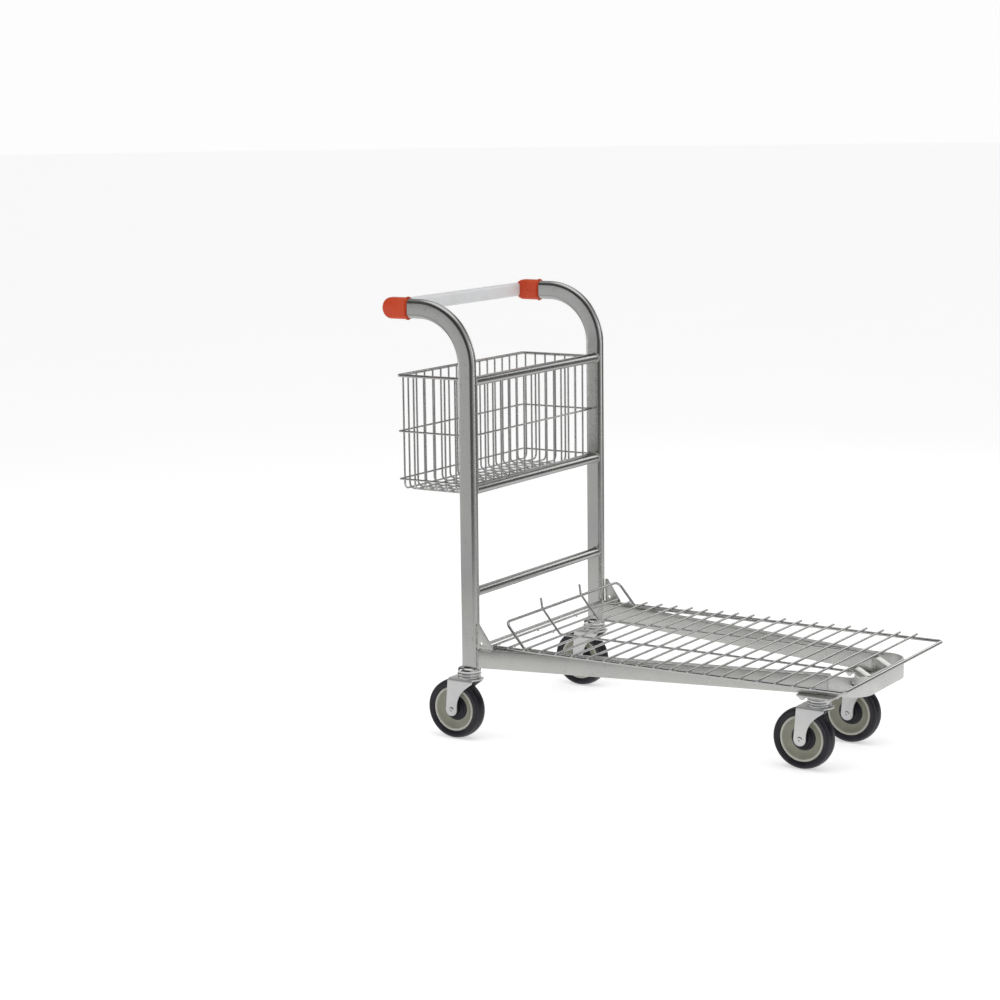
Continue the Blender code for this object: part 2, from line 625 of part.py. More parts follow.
def make_casters(looks, root, frame):
    rear_y = WIDTH / 2 - TUBE_WALL_SIDE / 2
    for side, sign in (("left", 1), ("right", -1)):
        make_caster("rear_" + side, REAR_CASTER_X, sign * rear_y, CHASSIS_HEIGHT, looks, root, frame)
        x, y, top = FRONT_CASTER_X, sign * FRONT_CASTER_Y, CHASSIS_HEIGHT - GAP
        low = (x - PLATE_LENGTH / 2, y - PLATE_WIDTH / 2, top - PLATE_THICKNESS)
        high = (x + PLATE_LENGTH / 2, y + PLATE_WIDTH / 2, top)
        box("caster_plate_" + side, low, high, looks["plate"], frame)
        make_caster("front_" + side, x, y, low[2], looks, root, frame)


def make_looks():
    return {
        "zinc": material("zinc_tube", (0.52, 0.52, 0.50), 0.32, 1.0),
        "plate": material("zinc_plate", (0.62, 0.62, 0.58), 0.38, 1.0),
        "wire": material("zinc_wire", (0.44, 0.44, 0.42), 0.35, 1.0),
        "orange": material("orange_plastic", (0.80, 0.13, 0.03), 0.35, 0.0),
        "pale": material("pale_sleeve", (0.72, 0.72, 0.72), 0.45, 0.0),
        "rubber": material("tyre_rubber", (0.035, 0.033, 0.045), 0.60, 0.0),
        "rim": material("rim_plastic", (0.33, 0.33, 0.27), 0.50, 0.0),
        "hub": material("hub_plastic", (0.03, 0.03, 0.03), 0.50, 0.0),
    }


def main():
    clear_scene()
    looks = make_looks()
    root = empty("trolley", ((HANDLE_REACH - DECK_REACH) / 2, 0, 0))
    frame = empty("frame", (0, 0, 0), root)
    make_handle(looks, frame)
    make_cross_tubes(looks, frame)
    make_basket(looks, frame)
    make_chassis(looks, frame)
    make_hinge_pin(looks["zinc"], frame)
    make_deck(looks, root)
    make_casters(looks, root, frame)


main()
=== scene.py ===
import math

import bmesh
import bpy
from mathutils import Matrix, Vector


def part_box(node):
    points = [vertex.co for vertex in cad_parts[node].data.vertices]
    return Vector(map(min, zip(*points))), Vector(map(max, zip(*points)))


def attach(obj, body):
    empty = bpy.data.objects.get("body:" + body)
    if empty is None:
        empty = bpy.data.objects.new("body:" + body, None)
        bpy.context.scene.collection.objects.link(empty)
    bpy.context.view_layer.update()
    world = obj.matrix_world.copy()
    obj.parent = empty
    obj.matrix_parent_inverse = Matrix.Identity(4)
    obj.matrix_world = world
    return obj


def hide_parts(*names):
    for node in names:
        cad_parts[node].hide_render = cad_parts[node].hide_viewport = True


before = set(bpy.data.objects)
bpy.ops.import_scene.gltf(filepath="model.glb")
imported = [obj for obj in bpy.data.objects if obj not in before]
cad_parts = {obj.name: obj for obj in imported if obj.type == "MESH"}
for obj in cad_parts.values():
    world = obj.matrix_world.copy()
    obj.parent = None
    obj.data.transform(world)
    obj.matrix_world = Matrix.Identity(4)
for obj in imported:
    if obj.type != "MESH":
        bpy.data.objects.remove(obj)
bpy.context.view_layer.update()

# The camera: where it stands, where it looks and its lens
cameraSet = {"spot": (2.2705, -4.2196, 1.3068), "azimuth": 32.36, "elevation": 9.66, "roll": -0.72,
             "lens": 84.82, "farthest": 200}


def makeCamera(s):
    turn, rise, roll = (math.radians(s[key]) for key in ("azimuth", "elevation", "roll"))
    back = Vector((math.sin(turn) * math.cos(rise), -math.cos(turn) * math.cos(rise), math.sin(rise)))
    right = Vector((math.cos(turn), math.sin(turn), 0))
    up = back.cross(right)
    tiltedRight = right * math.cos(roll) + up * math.sin(roll)
    tiltedUp = up * math.cos(roll) - right * math.sin(roll)
    data = bpy.data.cameras.new("camera")
    data.lens = s["lens"]
    data.clip_end = s["farthest"]
    camera = bpy.data.objects.new("camera", data)
    bpy.context.collection.objects.link(camera)
    stand = Matrix((tiltedRight, tiltedUp, back)).transposed().to_4x4()
    camera.matrix_world = Matrix.Translation(s["spot"]) @ stand
    bpy.context.scene.camera = camera


makeCamera(cameraSet)
print("camera placed")


class Feed:
    # one output socket: sums on it add Math nodes to its tree
    def __init__(self, net, socket):
        self.net, self.socket = net, socket

    def of(self, name):
        return Feed(self.net, self.socket.node.outputs[name])

    def worked(self, operation, first, second=0.0):
        return self.net.add("ShaderNodeMath", {"operation": operation}, {0: first, 1: second})

    def __add__(self, other):
        return self.worked("ADD", self, other)

    def __radd__(self, other):
        return self.worked("ADD", other, self)

    def __sub__(self, other):
        return self.worked("SUBTRACT", self, other)

    def __rsub__(self, other):
        return self.worked("SUBTRACT", other, self)

    def __mul__(self, other):
        return self.worked("MULTIPLY", self, other)

    def __rmul__(self, other):
        return self.worked("MULTIPLY", other, self)

    def __truediv__(self, other):
        return self.worked("DIVIDE", self, other)

    def __pow__(self, other):
        return self.worked("POWER", self, other)


class Net:
    # one node tree, for a finish or for a shape
    def __init__(self, tree):
        self.tree = tree

    def add(self, kind, settings=None, sockets=None):
        node = self.tree.nodes.new(kind)
        for name, value in (settings or {}).items():
            if name == "stops":
                self.setStops(node.color_ramp, value)
            else:
                setattr(node, name, value)
        for name, value in (sockets or {}).items():
            self.plug(node.inputs[name], value)
        outputs = [socket for socket in node.outputs if socket.enabled]
        return Feed(self, outputs[0]) if outputs else None

    def plug(self, socket, value):
        if isinstance(value, Feed):
            self.tree.links.new(value.socket, socket)
        else:
            socket.default_value = value

    def setStops(self, ramp, stops):
        ends = [ramp.elements[0], ramp.elements[-1]]
        for element, (place, level) in zip(ends, (stops[0], stops[-1])):
            element.position, element.color = place, (level, level, level, 1)
        for place, level in stops[1:-1]:
            ramp.elements.new(place).color = (level, level, level, 1)

    def noise(self, spot, scale, detail=3.0, roughness=0.55):
        return self.add("ShaderNodeTexNoise", {}, {"Vector": spot, "Scale": scale, "Detail": detail,
                                                   "Roughness": roughness})

    def stretched(self, spot, scale):
        return self.add("ShaderNodeMapping", {}, {"Vector": spot, "Scale": scale})

    def ramp(self, share, *stops):
        return self.add("ShaderNodeValToRGB", {"stops": stops}, {"Fac": share})

    def blend(self, share, low, high):
        low, high = ((*c, 1) if isinstance(c, tuple) else c for c in (low, high))
        return self.add("ShaderNodeMix", {"data_type": "RGBA"}, {0: share, 6: low, 7: high})

    def bump(self, height, strength, distance):
        return self.add("ShaderNodeBump", {}, {"Height": height, "Strength": strength, "Distance": distance})


def newFinish(name, **fixed):
    made = bpy.data.materials.new(name)
    made.use_nodes = True
    net = Net(made.node_tree)
    shader = made.node_tree.nodes["Principled BSDF"]
    for socket, value in fixed.items():
        shader.inputs[socket.replace("_", " ")].default_value = value
    return made, net, shader


def useMaps(net, shader, **maps):
    for socket, feed in maps.items():
        net.plug(shader.inputs[socket.replace("_", " ")], feed)


def objectSpot(net):
    return net.add("ShaderNodeTexCoord").of("Object")


def runSpot(net):
    # place on a bent bar: across its section in x and y, and along it in z
    held = net.add("ShaderNodeAttribute", {"attribute_name": "side"}).of("Vector")
    side = net.add("ShaderNodeSeparateXYZ", {}, {0: held})
    run = net.add("ShaderNodeAttribute", {"attribute_name": "run"}).of("Fac")
    return net.add("ShaderNodeCombineXYZ", {}, {0: side, 1: side.of("Y"), 2: run})


zincSet = {
    "tube": {"cool": (0.58, 0.59, 0.585), "warm": (0.64, 0.635, 0.61), "roughness": 0.17, "spread": 0.13,
             "lines": 900, "metal": 1.0},
    "wire": {"cool": (0.62, 0.63, 0.63), "warm": (0.72, 0.715, 0.69), "roughness": 0.20, "spread": 0.14,
             "lines": 1500, "metal": 1.0},
    "fork": {"cool": (0.68, 0.685, 0.69), "warm": (0.84, 0.84, 0.82), "roughness": 0.26, "spread": 0.14,
             "lines": 600, "metal": 0.75},
    "ring": {"cool": (0.74, 0.745, 0.75), "warm": (0.86, 0.855, 0.84), "roughness": 0.13, "spread": 0.12,
             "lines": 600, "metal": 1.0},
    "band": {"cool": (0.72, 0.725, 0.71), "warm": (0.86, 0.855, 0.83), "roughness": 0.24, "spread": 0.18,
             "lines": 400, "metal": 0.8},
    "plate": {"cool": (0.60, 0.605, 0.59), "warm": (0.70, 0.695, 0.66), "roughness": 0.22, "spread": 0.16,
              "lines": 500, "metal": 0.85},
}


patternSet = {"along": 9, "alongFlat": 14, "clouds": 13, "grains": 420, "spots": 95, "dull": 0.62, "bump": 0.22,
              "depth": 0.0002}


def makeZinc(name, s, alongBar):
    # plated steel: drawn lines along the bar, cloudy zinc patches and a few dull spots
    made, net, shader = newFinish(name, Metallic=s["metal"])
    spot = objectSpot(net)
    across, pattern = s["lines"], patternSet
    if alongBar:
        lines = net.noise(net.stretched(runSpot(net), (across, across, pattern["along"])), 1.0, 2.0)
    else:
        lines = net.noise(net.stretched(spot, (pattern["alongFlat"], across, across)), 1.0, 2.0)
    clouds = net.noise(spot, pattern["clouds"], 4.0, 0.6)
    grains = net.noise(spot, pattern["grains"], 2.0, 0.5)
    patches = net.ramp(clouds, (0.36, 0.0), (0.66, 1.0))
    spots = net.ramp(net.noise(spot, pattern["spots"], 3.0, 0.65), (0.60, 0.0), (0.72, 1.0))
    tone = net.blend(patches * 0.8 + lines * 0.2, s["cool"], s["warm"])
    dulled = net.blend(spots * 0.22, tone, tuple(c * pattern["dull"] for c in s["cool"]))
    roughness = s["roughness"] + s["spread"] * (lines * 0.45 + patches * 0.35 + spots * 0.5)
    height = lines * 0.5 + grains * 0.5
    useMaps(net, shader, Base_Color=dulled, Roughness=roughness,
            Normal=net.bump(height, pattern["bump"], pattern["depth"]))
    return made


def makeWeldFinish():
    made, net, shader = newFinish("weldBead", Metallic=1.0)
    spot = objectSpot(net)
    fine = net.noise(spot, 700, 3.0)
    stain = net.ramp(net.noise(spot, 120, 2.0), (0.35, 0.0), (0.65, 1.0))
    colour = net.blend(stain, (0.56, 0.55, 0.52), (0.82, 0.82, 0.80))
    useMaps(net, shader, Base_Color=colour, Roughness=0.26 + fine * 0.22, Normal=net.bump(fine, 0.35, 0.0003))
    return made


def makeOrange():
    # moulded cap: even orange, fine moulding grain, and a painted highlight that makes its convex edges paler
    made, net, shader = newFinish("orangeCap", IOR=1.45, Specular_IOR_Level=0.35, Coat_Weight=0.3,
                                  Coat_Roughness=0.1)
    spot = objectSpot(net)
    grain = net.noise(spot, 900, 3.0)
    tint = net.noise(spot, 35, 3.0)
    bevels = net.add("ShaderNodeNewGeometry").of("Pointiness")
    # painted highlight: convex edges, found by pointiness, are blended toward a pale orange
    edgeHighlight = net.ramp(bevels, (0.53, 0.0), (0.60, 1.0))
    colour = net.blend(tint, (0.50, 0.040, 0.010), (0.62, 0.060, 0.014))
    colour = net.blend(edgeHighlight * 0.3, colour, (0.88, 0.20, 0.07))
    useMaps(net, shader, Base_Color=colour, Roughness=0.30 + grain * 0.12,
            Normal=net.bump(grain, 0.12, 0.0002))
    return made


def makeSleeve():
    made, net, shader = newFinish("paleSleeve", IOR=1.46, Coat_Weight=0.3, Coat_Roughness=0.22)
    lines = net.noise(net.stretched(runSpot(net), (700, 700, 6)), 1.0, 2.0)
    hands = net.ramp(net.noise(objectSpot(net), 16, 4.0), (0.42, 0.0), (0.70, 1.0))
    colour = net.blend(hands, (0.80, 0.81, 0.82), (0.74, 0.745, 0.75))
    roughness = 0.30 + lines * 0.10 + hands * 0.12
    useMaps(net, shader, Base_Color=colour, Roughness=roughness, Normal=net.bump(lines, 0.15, 0.0002))
    return made


def makeRubber():
    made, net, shader = newFinish("tyreRubber", IOR=1.5, Sheen_Weight=0.05)
    spot = objectSpot(net)
    grain = net.noise(spot, 1100, 3.0)
    dust = net.ramp(net.noise(spot, 55, 5.0, 0.65), (0.46, 0.0), (0.74, 1.0))
    colour = net.blend(dust * 0.5, (0.008, 0.007, 0.013), (0.034, 0.032, 0.046))
    useMaps(net, shader, Base_Color=colour, Roughness=0.27 + grain * 0.12 + dust * 0.16,
            Normal=net.bump(grain, 0.25, 0.0003))
    return made


plasticSet = {
    "rim": {"dark": (0.25, 0.25, 0.20), "light": (0.36, 0.355, 0.285), "grain": 800, "flow": 45, "detail": 4.0,
            "roughness": 0.36, "spread": 0.14, "bump": 0.15},
    # a lighter copy of the rim plastic for the raised outer ring: a painted highlight
    "rimEdge": {"dark": (0.42, 0.42, 0.37), "light": (0.54, 0.54, 0.48), "grain": 800, "flow": 45, "detail": 4.0,
                "roughness": 0.36, "spread": 0.14, "bump": 0.15},
    "hub": {"dark": (0.009, 0.009, 0.015), "light": (0.020, 0.020, 0.030), "grain": 700, "flow": 60,
            "detail": 3.0, "roughness": 0.34, "spread": 0.16, "bump": 0.2},
}


def makePlastic(kind):
    # moulded plastic: soft flow marks in its colour and a fine grain
    s = plasticSet[kind]
    made, net, shader = newFinish(kind + "Plastic", IOR=1.47)
    spot = objectSpot(net)
    grain = net.noise(spot, s["grain"], 3.0)
    flow = net.noise(spot, s["flow"], s["detail"])
    useMaps(net, shader, Base_Color=net.blend(flow, s["dark"], s["light"]),
            Roughness=s["roughness"] + grain * s["spread"], Normal=net.bump(grain, s["bump"], 0.0002))
    return made


finishes = {
    "tube": makeZinc("zincTube", zincSet["tube"], True),
    "wire": makeZinc("zincWire", zincSet["wire"], True),
    "plate": makeZinc("zincPlate", zincSet["plate"], False),
    "rail": makeZinc("zincRail", zincSet["plate"], True),
    "fork": makeZinc("zincFork", zincSet["fork"], False),
    "ring": makeZinc("zincRing", zincSet["ring"], False),
    "band": makeZinc("zincBand", zincSet["band"], False),
    "weld": makeWeldFinish(),
    "orange": makeOrange(),
    "sleeve": makeSleeve(),
    "rubber": makeRubber(),
    **{kind: makePlastic(kind) for kind in plasticSet},
}
print("finishes made")


def newShapeTree(name, sockets):
    # a geometry tree with named inputs, and what each of them gives
    tree = bpy.data.node_groups.new(name, "GeometryNodeTree")
    tree.interface.new_socket("Geometry", in_out="INPUT", socket_type="NodeSocketGeometry")
    for label, (kind, value) in sockets.items():
        socket = tree.interface.new_socket(label, in_out="INPUT", socket_type="NodeSocket" + kind)
        if value is not None:
            socket.default_value = value
    tree.interface.new_socket("Geometry", in_out="OUTPUT", socket_type="NodeSocketGeometry")
    net = Net(tree)
    first = net.add("NodeGroupInput")
    return tree, net, {label: first.of(label) for label in ["Geometry", *sockets]}


def closeTree(net, geometry, finish):
    single = net.add("GeometryNodeRealizeInstances", {}, {"Geometry": geometry})
    painted = net.add("GeometryNodeSetMaterial", {}, {"Geometry": single, "Material": finish})
    net.add("NodeGroupOutput", {}, {"Geometry": painted})


def makeBarTree():
    # a row of equal bars bent along a path: corners rounded, section a rounded rectangle, domed ends if asked
    tree, net, given = newShapeTree("bentBars", {
        "Bend": ("Float", 0.01), "Bend Steps": ("Int", 6), "Width": ("Float", 0.005),
        "Height": ("Float", 0.005), "Edge": ("Float", 0.0025), "Edge Steps": ("Int", 3), "Count": ("Int", 1),
        "Step": ("Vector", (0, 0, 0)), "Dome": ("Float", 0.0), "Finish": ("Material", None)})
    path = net.add("GeometryNodeMeshToCurve", {}, {"Mesh": given["Geometry"]})
    bent = net.add("GeometryNodeFilletCurve", {"mode": "POLY"},
                   {"Curve": path, "Count": given["Bend Steps"], "Radius": given["Bend"]})
    row = net.add("GeometryNodeMeshLine", {"mode": "OFFSET"},
                  {"Count": given["Count"], "Offset": given["Step"]})
    copies = net.add("GeometryNodeInstanceOnPoints", {}, {"Points": row, "Instance": bent})
    single = net.add("GeometryNodeRealizeInstances", {}, {"Geometry": copies})
    length = net.add("GeometryNodeSplineParameter").of("Length")
    marked = net.add("GeometryNodeStoreNamedAttribute", {"data_type": "FLOAT", "domain": "POINT"},
                     {"Geometry": single, "Name": "run", "Value": length})
    box = net.add("GeometryNodeCurvePrimitiveQuadrilateral", {},
                  {"Width": given["Width"], "Height": given["Height"]})
    section = net.add("GeometryNodeFilletCurve", {"mode": "POLY"},
                      {"Curve": box, "Count": given["Edge Steps"], "Radius": given["Edge"], "Limit Radius": True})
    spot = net.add("GeometryNodeInputPosition")
    sided = net.add("GeometryNodeStoreNamedAttribute", {"data_type": "FLOAT_VECTOR", "domain": "POINT"},
                    {"Geometry": section, "Name": "side", "Value": spot})
    bars = net.add("GeometryNodeCurveToMesh", {},
                   {"Curve": marked, "Profile Curve": sided, "Fill Caps": True})
    ends = net.add("GeometryNodeCurveEndpointSelection")
    ball = net.add("GeometryNodeMeshUVSphere", {}, {"Segments": 10, "Rings": 6, "Radius": given["Dome"]})
    tips = net.add("GeometryNodeInstanceOnPoints", {},
                   {"Points": marked, "Selection": ends, "Instance": ball})
    domed = net.add("GeometryNodeSwitch", {"input_type": "GEOMETRY"},
                    {"Switch": net.add("FunctionNodeCompare", {}, {0: given["Dome"], 1: 0.0}), "True": tips})
    both = net.add("GeometryNodeJoinGeometry", {}, {"Geometry": bars})
    net.tree.links.new(domed.socket, both.socket.node.inputs["Geometry"])
    closeTree(net, both, given["Finish"])
    return tree


def makeBeadTree():
    # a weld bead along a path: a round bead whose thickness ripples
    tree, net, given = newShapeTree("weldBeads", {
        "Bend": ("Float", 0.001), "Bend Steps": ("Int", 6), "Radius": ("Float", 0.0018),
        "Ripple": ("Float", 0.0022), "Seed": ("Float", 3.0), "Finish": ("Material", None)})
    path = net.add("GeometryNodeMeshToCurve", {}, {"Mesh": given["Geometry"]})
    bent = net.add("GeometryNodeFilletCurve", {"mode": "POLY"},
                   {"Curve": path, "Count": given["Bend Steps"], "Radius": given["Bend"],
                    "Limit Radius": True})
    fine = net.add("GeometryNodeResampleCurve", {"mode": "LENGTH"},
                   {"Curve": bent, "Length": given["Ripple"] * 0.25})
    length = net.add("GeometryNodeSplineParameter").of("Length")
    wave = net.add("ShaderNodeMath", {"operation": "SINE"}, {0: length * (2 * math.pi) / given["Ripple"]})
    uneven = net.add("ShaderNodeTexNoise", {"noise_dimensions": "4D"}, {"Scale": 160.0, "W": given["Seed"]})
    swell = 0.72 + wave * 0.13 + uneven * 0.55
    sized = net.add("GeometryNodeSetCurveRadius", {}, {"Curve": fine, "Radius": swell})
    ring = net.add("GeometryNodeCurvePrimitiveCircle", {}, {"Resolution": 8, "Radius": given["Radius"]})
    bead = net.add("GeometryNodeCurveToMesh", {}, {"Curve": sized, "Profile Curve": ring, "Fill Caps": True})
    if "Scale" in bead.socket.node.inputs:
        net.plug(bead.socket.node.inputs["Scale"], swell)
    closeTree(net, bead, given["Finish"])
    return tree


def makeDotTree():
    # small weld dots where wires cross, each a flattened drop of its own size
    tree, net, given = newShapeTree("weldDots", {
        "Radius": ("Float", 0.002), "Flat": ("Vector", (1, 1, 1)), "Seed": ("Int", 5),
        "Finish": ("Material", None)})
    drop = net.add("GeometryNodeMeshIcoSphere", {}, {"Radius": given["Radius"], "Subdivisions": 1})
    size = net.add("FunctionNodeRandomValue", {"data_type": "FLOAT"},
                   {2: 0.75, 3: 1.2, "Seed": given["Seed"]})
    scale = net.add("ShaderNodeVectorMath", {"operation": "SCALE"}, {0: given["Flat"], "Scale": size})
    drops = net.add("GeometryNodeInstanceOnPoints", {},
                    {"Points": given["Geometry"], "Instance": drop, "Scale": scale})
    closeTree(net, drops, given["Finish"])
    return tree


trees = {"bars": makeBarTree(), "beads": makeBeadTree(), "dots": makeDotTree()}
print("shape trees made")


def guideLines(lines, closed=False):
    mesh = bpy.data.meshes.new("guide")
    points, edges = [], []
    for line in lines:
        first, count = len(points), len(line)
        points += [tuple(point) for point in line]
        edges += [(first + k, first + k + 1) for k in range(count - 1)]
        if closed:
            edges.append((first + count - 1, first))
    mesh.from_pydata(points, edges, [])
    return mesh


def grow(name, guide, tree, **values):
    # the tree's result on a guide, as a plain mesh
    made = bpy.data.objects.new(name, guide)
    bpy.context.collection.objects.link(made)
    shape = made.modifiers.new("shape", "NODES")
    shape.node_group = tree
    wanted = {label.replace("_", " "): value for label, value in values.items()}
    for item in tree.interface.items_tree:
        if item.in_out == "INPUT" and item.name in wanted:
            shape[item.identifier] = wanted.pop(item.name)
    if wanted:
        raise ValueError("no such input: " + ", ".join(wanted))
    graph = bpy.context.evaluated_depsgraph_get()
    mesh = bpy.data.meshes.new_from_object(made.evaluated_get(graph))
    made.modifiers.clear()
    made.data = mesh
    mesh.name = name
    return made


roundShare = 0.98  # a round section's corner radius, just under half its width


def rod(name, lines, thick, closed=False, **more):
    # a round wire or tube along each line
    values = {"Width": thick, "Height": thick, "Edge": thick / 2 * roundShare, "Edge_Steps": 4,
              "Finish": finishes["wire"], **more}
    return grow(name, guideLines(lines, closed), trees["bars"], **values)


def weld(name, lines, radius, closed=False, **more):
    values = {"Bend": 0.0, "Radius": radius, "Finish": finishes["weld"], **more}
    return grow(name, guideLines(lines, closed), trees["beads"], **values)


def weldDots(name, spots, radius, **more):
    guide = guideLines([[spot] for spot in spots])
    return grow(name, guide, trees["dots"], Radius=radius, Finish=finishes["weld"], **more)


def newPiece(name, bm, finish):
    mesh = bpy.data.meshes.new(name)
    bm.to_mesh(mesh)
    bm.free()
    mesh.materials.append(finish)
    made = bpy.data.objects.new(name, mesh)
    bpy.context.collection.objects.link(made)
    return made


def settle(piece, body, nodes=(), sharp=38):
    piece.data.shade_smooth()
    piece.data.set_sharp_from_angle(angle=math.radians(sharp))
    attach(piece, body)
    if nodes:
        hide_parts(*nodes)
    return piece


def joined(name, pieces):
    # several made pieces as one mesh, with their finishes kept
    bm = bmesh.new()
    finishList = []
    for piece in pieces:
        part = bmesh.new()
        part.from_mesh(piece.data)
        slots = []
        for finish in piece.data.materials:
            if finish not in finishList:
                finishList.append(finish)
            slots.append(finishList.index(finish))
        for face in part.faces:
            face.material_index = slots[face.material_index] if slots else 0
        scratch = bpy.data.meshes.new("scratch")
        part.to_mesh(scratch)
        part.free()
        bm.from_mesh(scratch)
        bpy.data.meshes.remove(scratch)
        bpy.data.objects.remove(piece)
    made = newPiece(name, bm, finishList[0])
    for finish in finishList[1:]:
        made.data.materials.append(finish)
    return made


def middle(node):
    low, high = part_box(node)
    return (low + high) / 2


def size(node):
    low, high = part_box(node)
    return high - low


def arc(centre, reach, start, end, steps):
    # points of a circle or an ellipse in a plane, from one angle to another
    angles = [start + (end - start) * k / steps for k in range(steps + 1)]
    return [(centre[0] + reach[0] * math.cos(a), centre[1] + reach[1] * math.sin(a)) for a in angles]


def mirror(outline):
    # a (radius, height) outline's mirror image, run the other way
    return [(radius, -height) for radius, height in reversed(outline)]


sides = {"left": 1, "right": -1}
quarter = math.pi / 2


# Bent uprights with a level arm, in flat oval tube
uprightSet = {"bend": 0.112, "bendSteps": 30, "edgeSteps": 10, "depth": 0.040}


def makeUprights(s):
    for side in sides:
        node = "upright_" + side
        low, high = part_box(node)
        y, front = middle(node).y, high.x - s["depth"] / 2
        level = high.z - s["depth"] / 2
        path = [(low.x, y, level), (front, y, level), (front, y, low.z)]
        width = high.y - low.y
        tube = rod("bent_tube_" + side, [path], width, Bend=s["bend"], Bend_Steps=s["bendSteps"],
                   Height=s["depth"], Edge_Steps=s["edgeSteps"], Finish=finishes["tube"])
        settle(tube, "frame", [node], 50)


makeUprights(uprightSet)
print("uprights made")


# Round tubes between the uprights
crossSet = {"edgeSteps": 8, "beadRadius": 0.0019, "beadRipple": 0.0021}


def ringLine(centre, radius, count=32):
    # a ring round a tube that runs from side to side
    angles = [2 * math.pi * k / count for k in range(count)]
    return [Vector(centre) + radius * Vector((math.cos(a), 0, math.sin(a))) for a in angles]


def makeCrossTubes(s):
    rings = []
    for name in ("low", "floor", "top"):
        node = "cross_tube_" + name
        low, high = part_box(node)
        spot, radius = middle(node), (high.z - low.z) / 2
        path = [(spot.x, low.y, spot.z), (spot.x, high.y, spot.z)]
        tube = rod("round_tube_" + name, [path], 2 * radius, Edge_Steps=s["edgeSteps"],
                   Finish=finishes["tube"])
        settle(tube, "frame", [node], 50)
        rings += [ringLine((spot.x, y, spot.z), radius) for y in (low.y, high.y)]
    beads = weld("tube_weld_rings", rings, s["beadRadius"], True, Ripple=s["beadRipple"])
    settle(beads, "frame", sharp=60)


makeCrossTubes(crossSet)
print("cross tubes made")


def flatPiece(name, outlines, thickness, edge, finish, plane, spot):
    # a flat curve with holes, thickened and rounded, stood in its plane
    curve = bpy.data.curves.new(name, "CURVE")
    curve.dimensions = "2D"
    curve.fill_mode = "BOTH"
    curve.bevel_depth = edge
    curve.bevel_resolution = 3
    curve.extrude = thickness / 2 - edge
    curve.offset = -edge
    for points in outlines:
        spline = curve.splines.new("POLY")
        spline.points.add(len(points) - 1)
        for point, (u, v) in zip(spline.points, points):
            point.co = (u, v, 0, 1)
        spline.use_cyclic_u = True
    made = bpy.data.objects.new(name, curve)
    bpy.context.collection.objects.link(made)
    mesh = bpy.data.meshes.new_from_object(made.evaluated_get(bpy.context.evaluated_depsgraph_get()))
    bpy.data.objects.remove(made)
    turn = {"XZ": Matrix.Rotation(math.pi / 2, 4, "X"), "XY": Matrix()}[plane]
    mesh.transform(Matrix.Translation(spot) @ turn)
    bm = bmesh.new()
    bm.from_mesh(mesh)
    bmesh.ops.remove_doubles(bm, verts=bm.verts, dist=1e-6)
    bmesh.ops.recalc_face_normals(bm, faces=bm.faces)
    bpy.data.meshes.remove(mesh)
    return newPiece(name, bm, finish)


def roundCorners(points, radius, steps=5):
    # the same closed outline with each corner as an arc
    outline = []
    for k, corner in enumerate(points):
        before, corner, after = (Vector(points[k - 1]), Vector(corner), Vector(points[(k + 1) % len(points)]))
        arrive, leave = (corner - before).normalized(), (after - corner).normalized()
        half = arrive.angle(leave) / 2
        reach = radius * math.tan(half)
        start, end = corner - arrive * reach, corner + leave * reach
        centre = corner + (leave - arrive).normalized() * radius / math.cos(half)
        first, last = start - centre, end - centre
        for j in range(steps + 1):
            share = j / steps
            spoke = first * math.sin((1 - share) * 2 * half) + last * math.sin(share * 2 * half)
            outline.append(tuple(centre + spoke / math.sin(2 * half)))
    return outline


def circle(centre, radius, count=24):
    return [(centre[0] + radius * math.cos(2 * math.pi * k / count),
             centre[1] + radius * math.sin(2 * math.pi * k / count)) for k in range(count)]


# Orange corner caps and the pale bar between them
capSet = {"edge": 0.0065, "lip": 0.0010, "lipWidth": 0.0045, "bossPlace": 0.62, "bossRadius": 0.0058,
          "bossHeight": 0.0020, "bossSunk": -0.004, "endSteps": 24}
barSet = {"edgeSteps": 8}


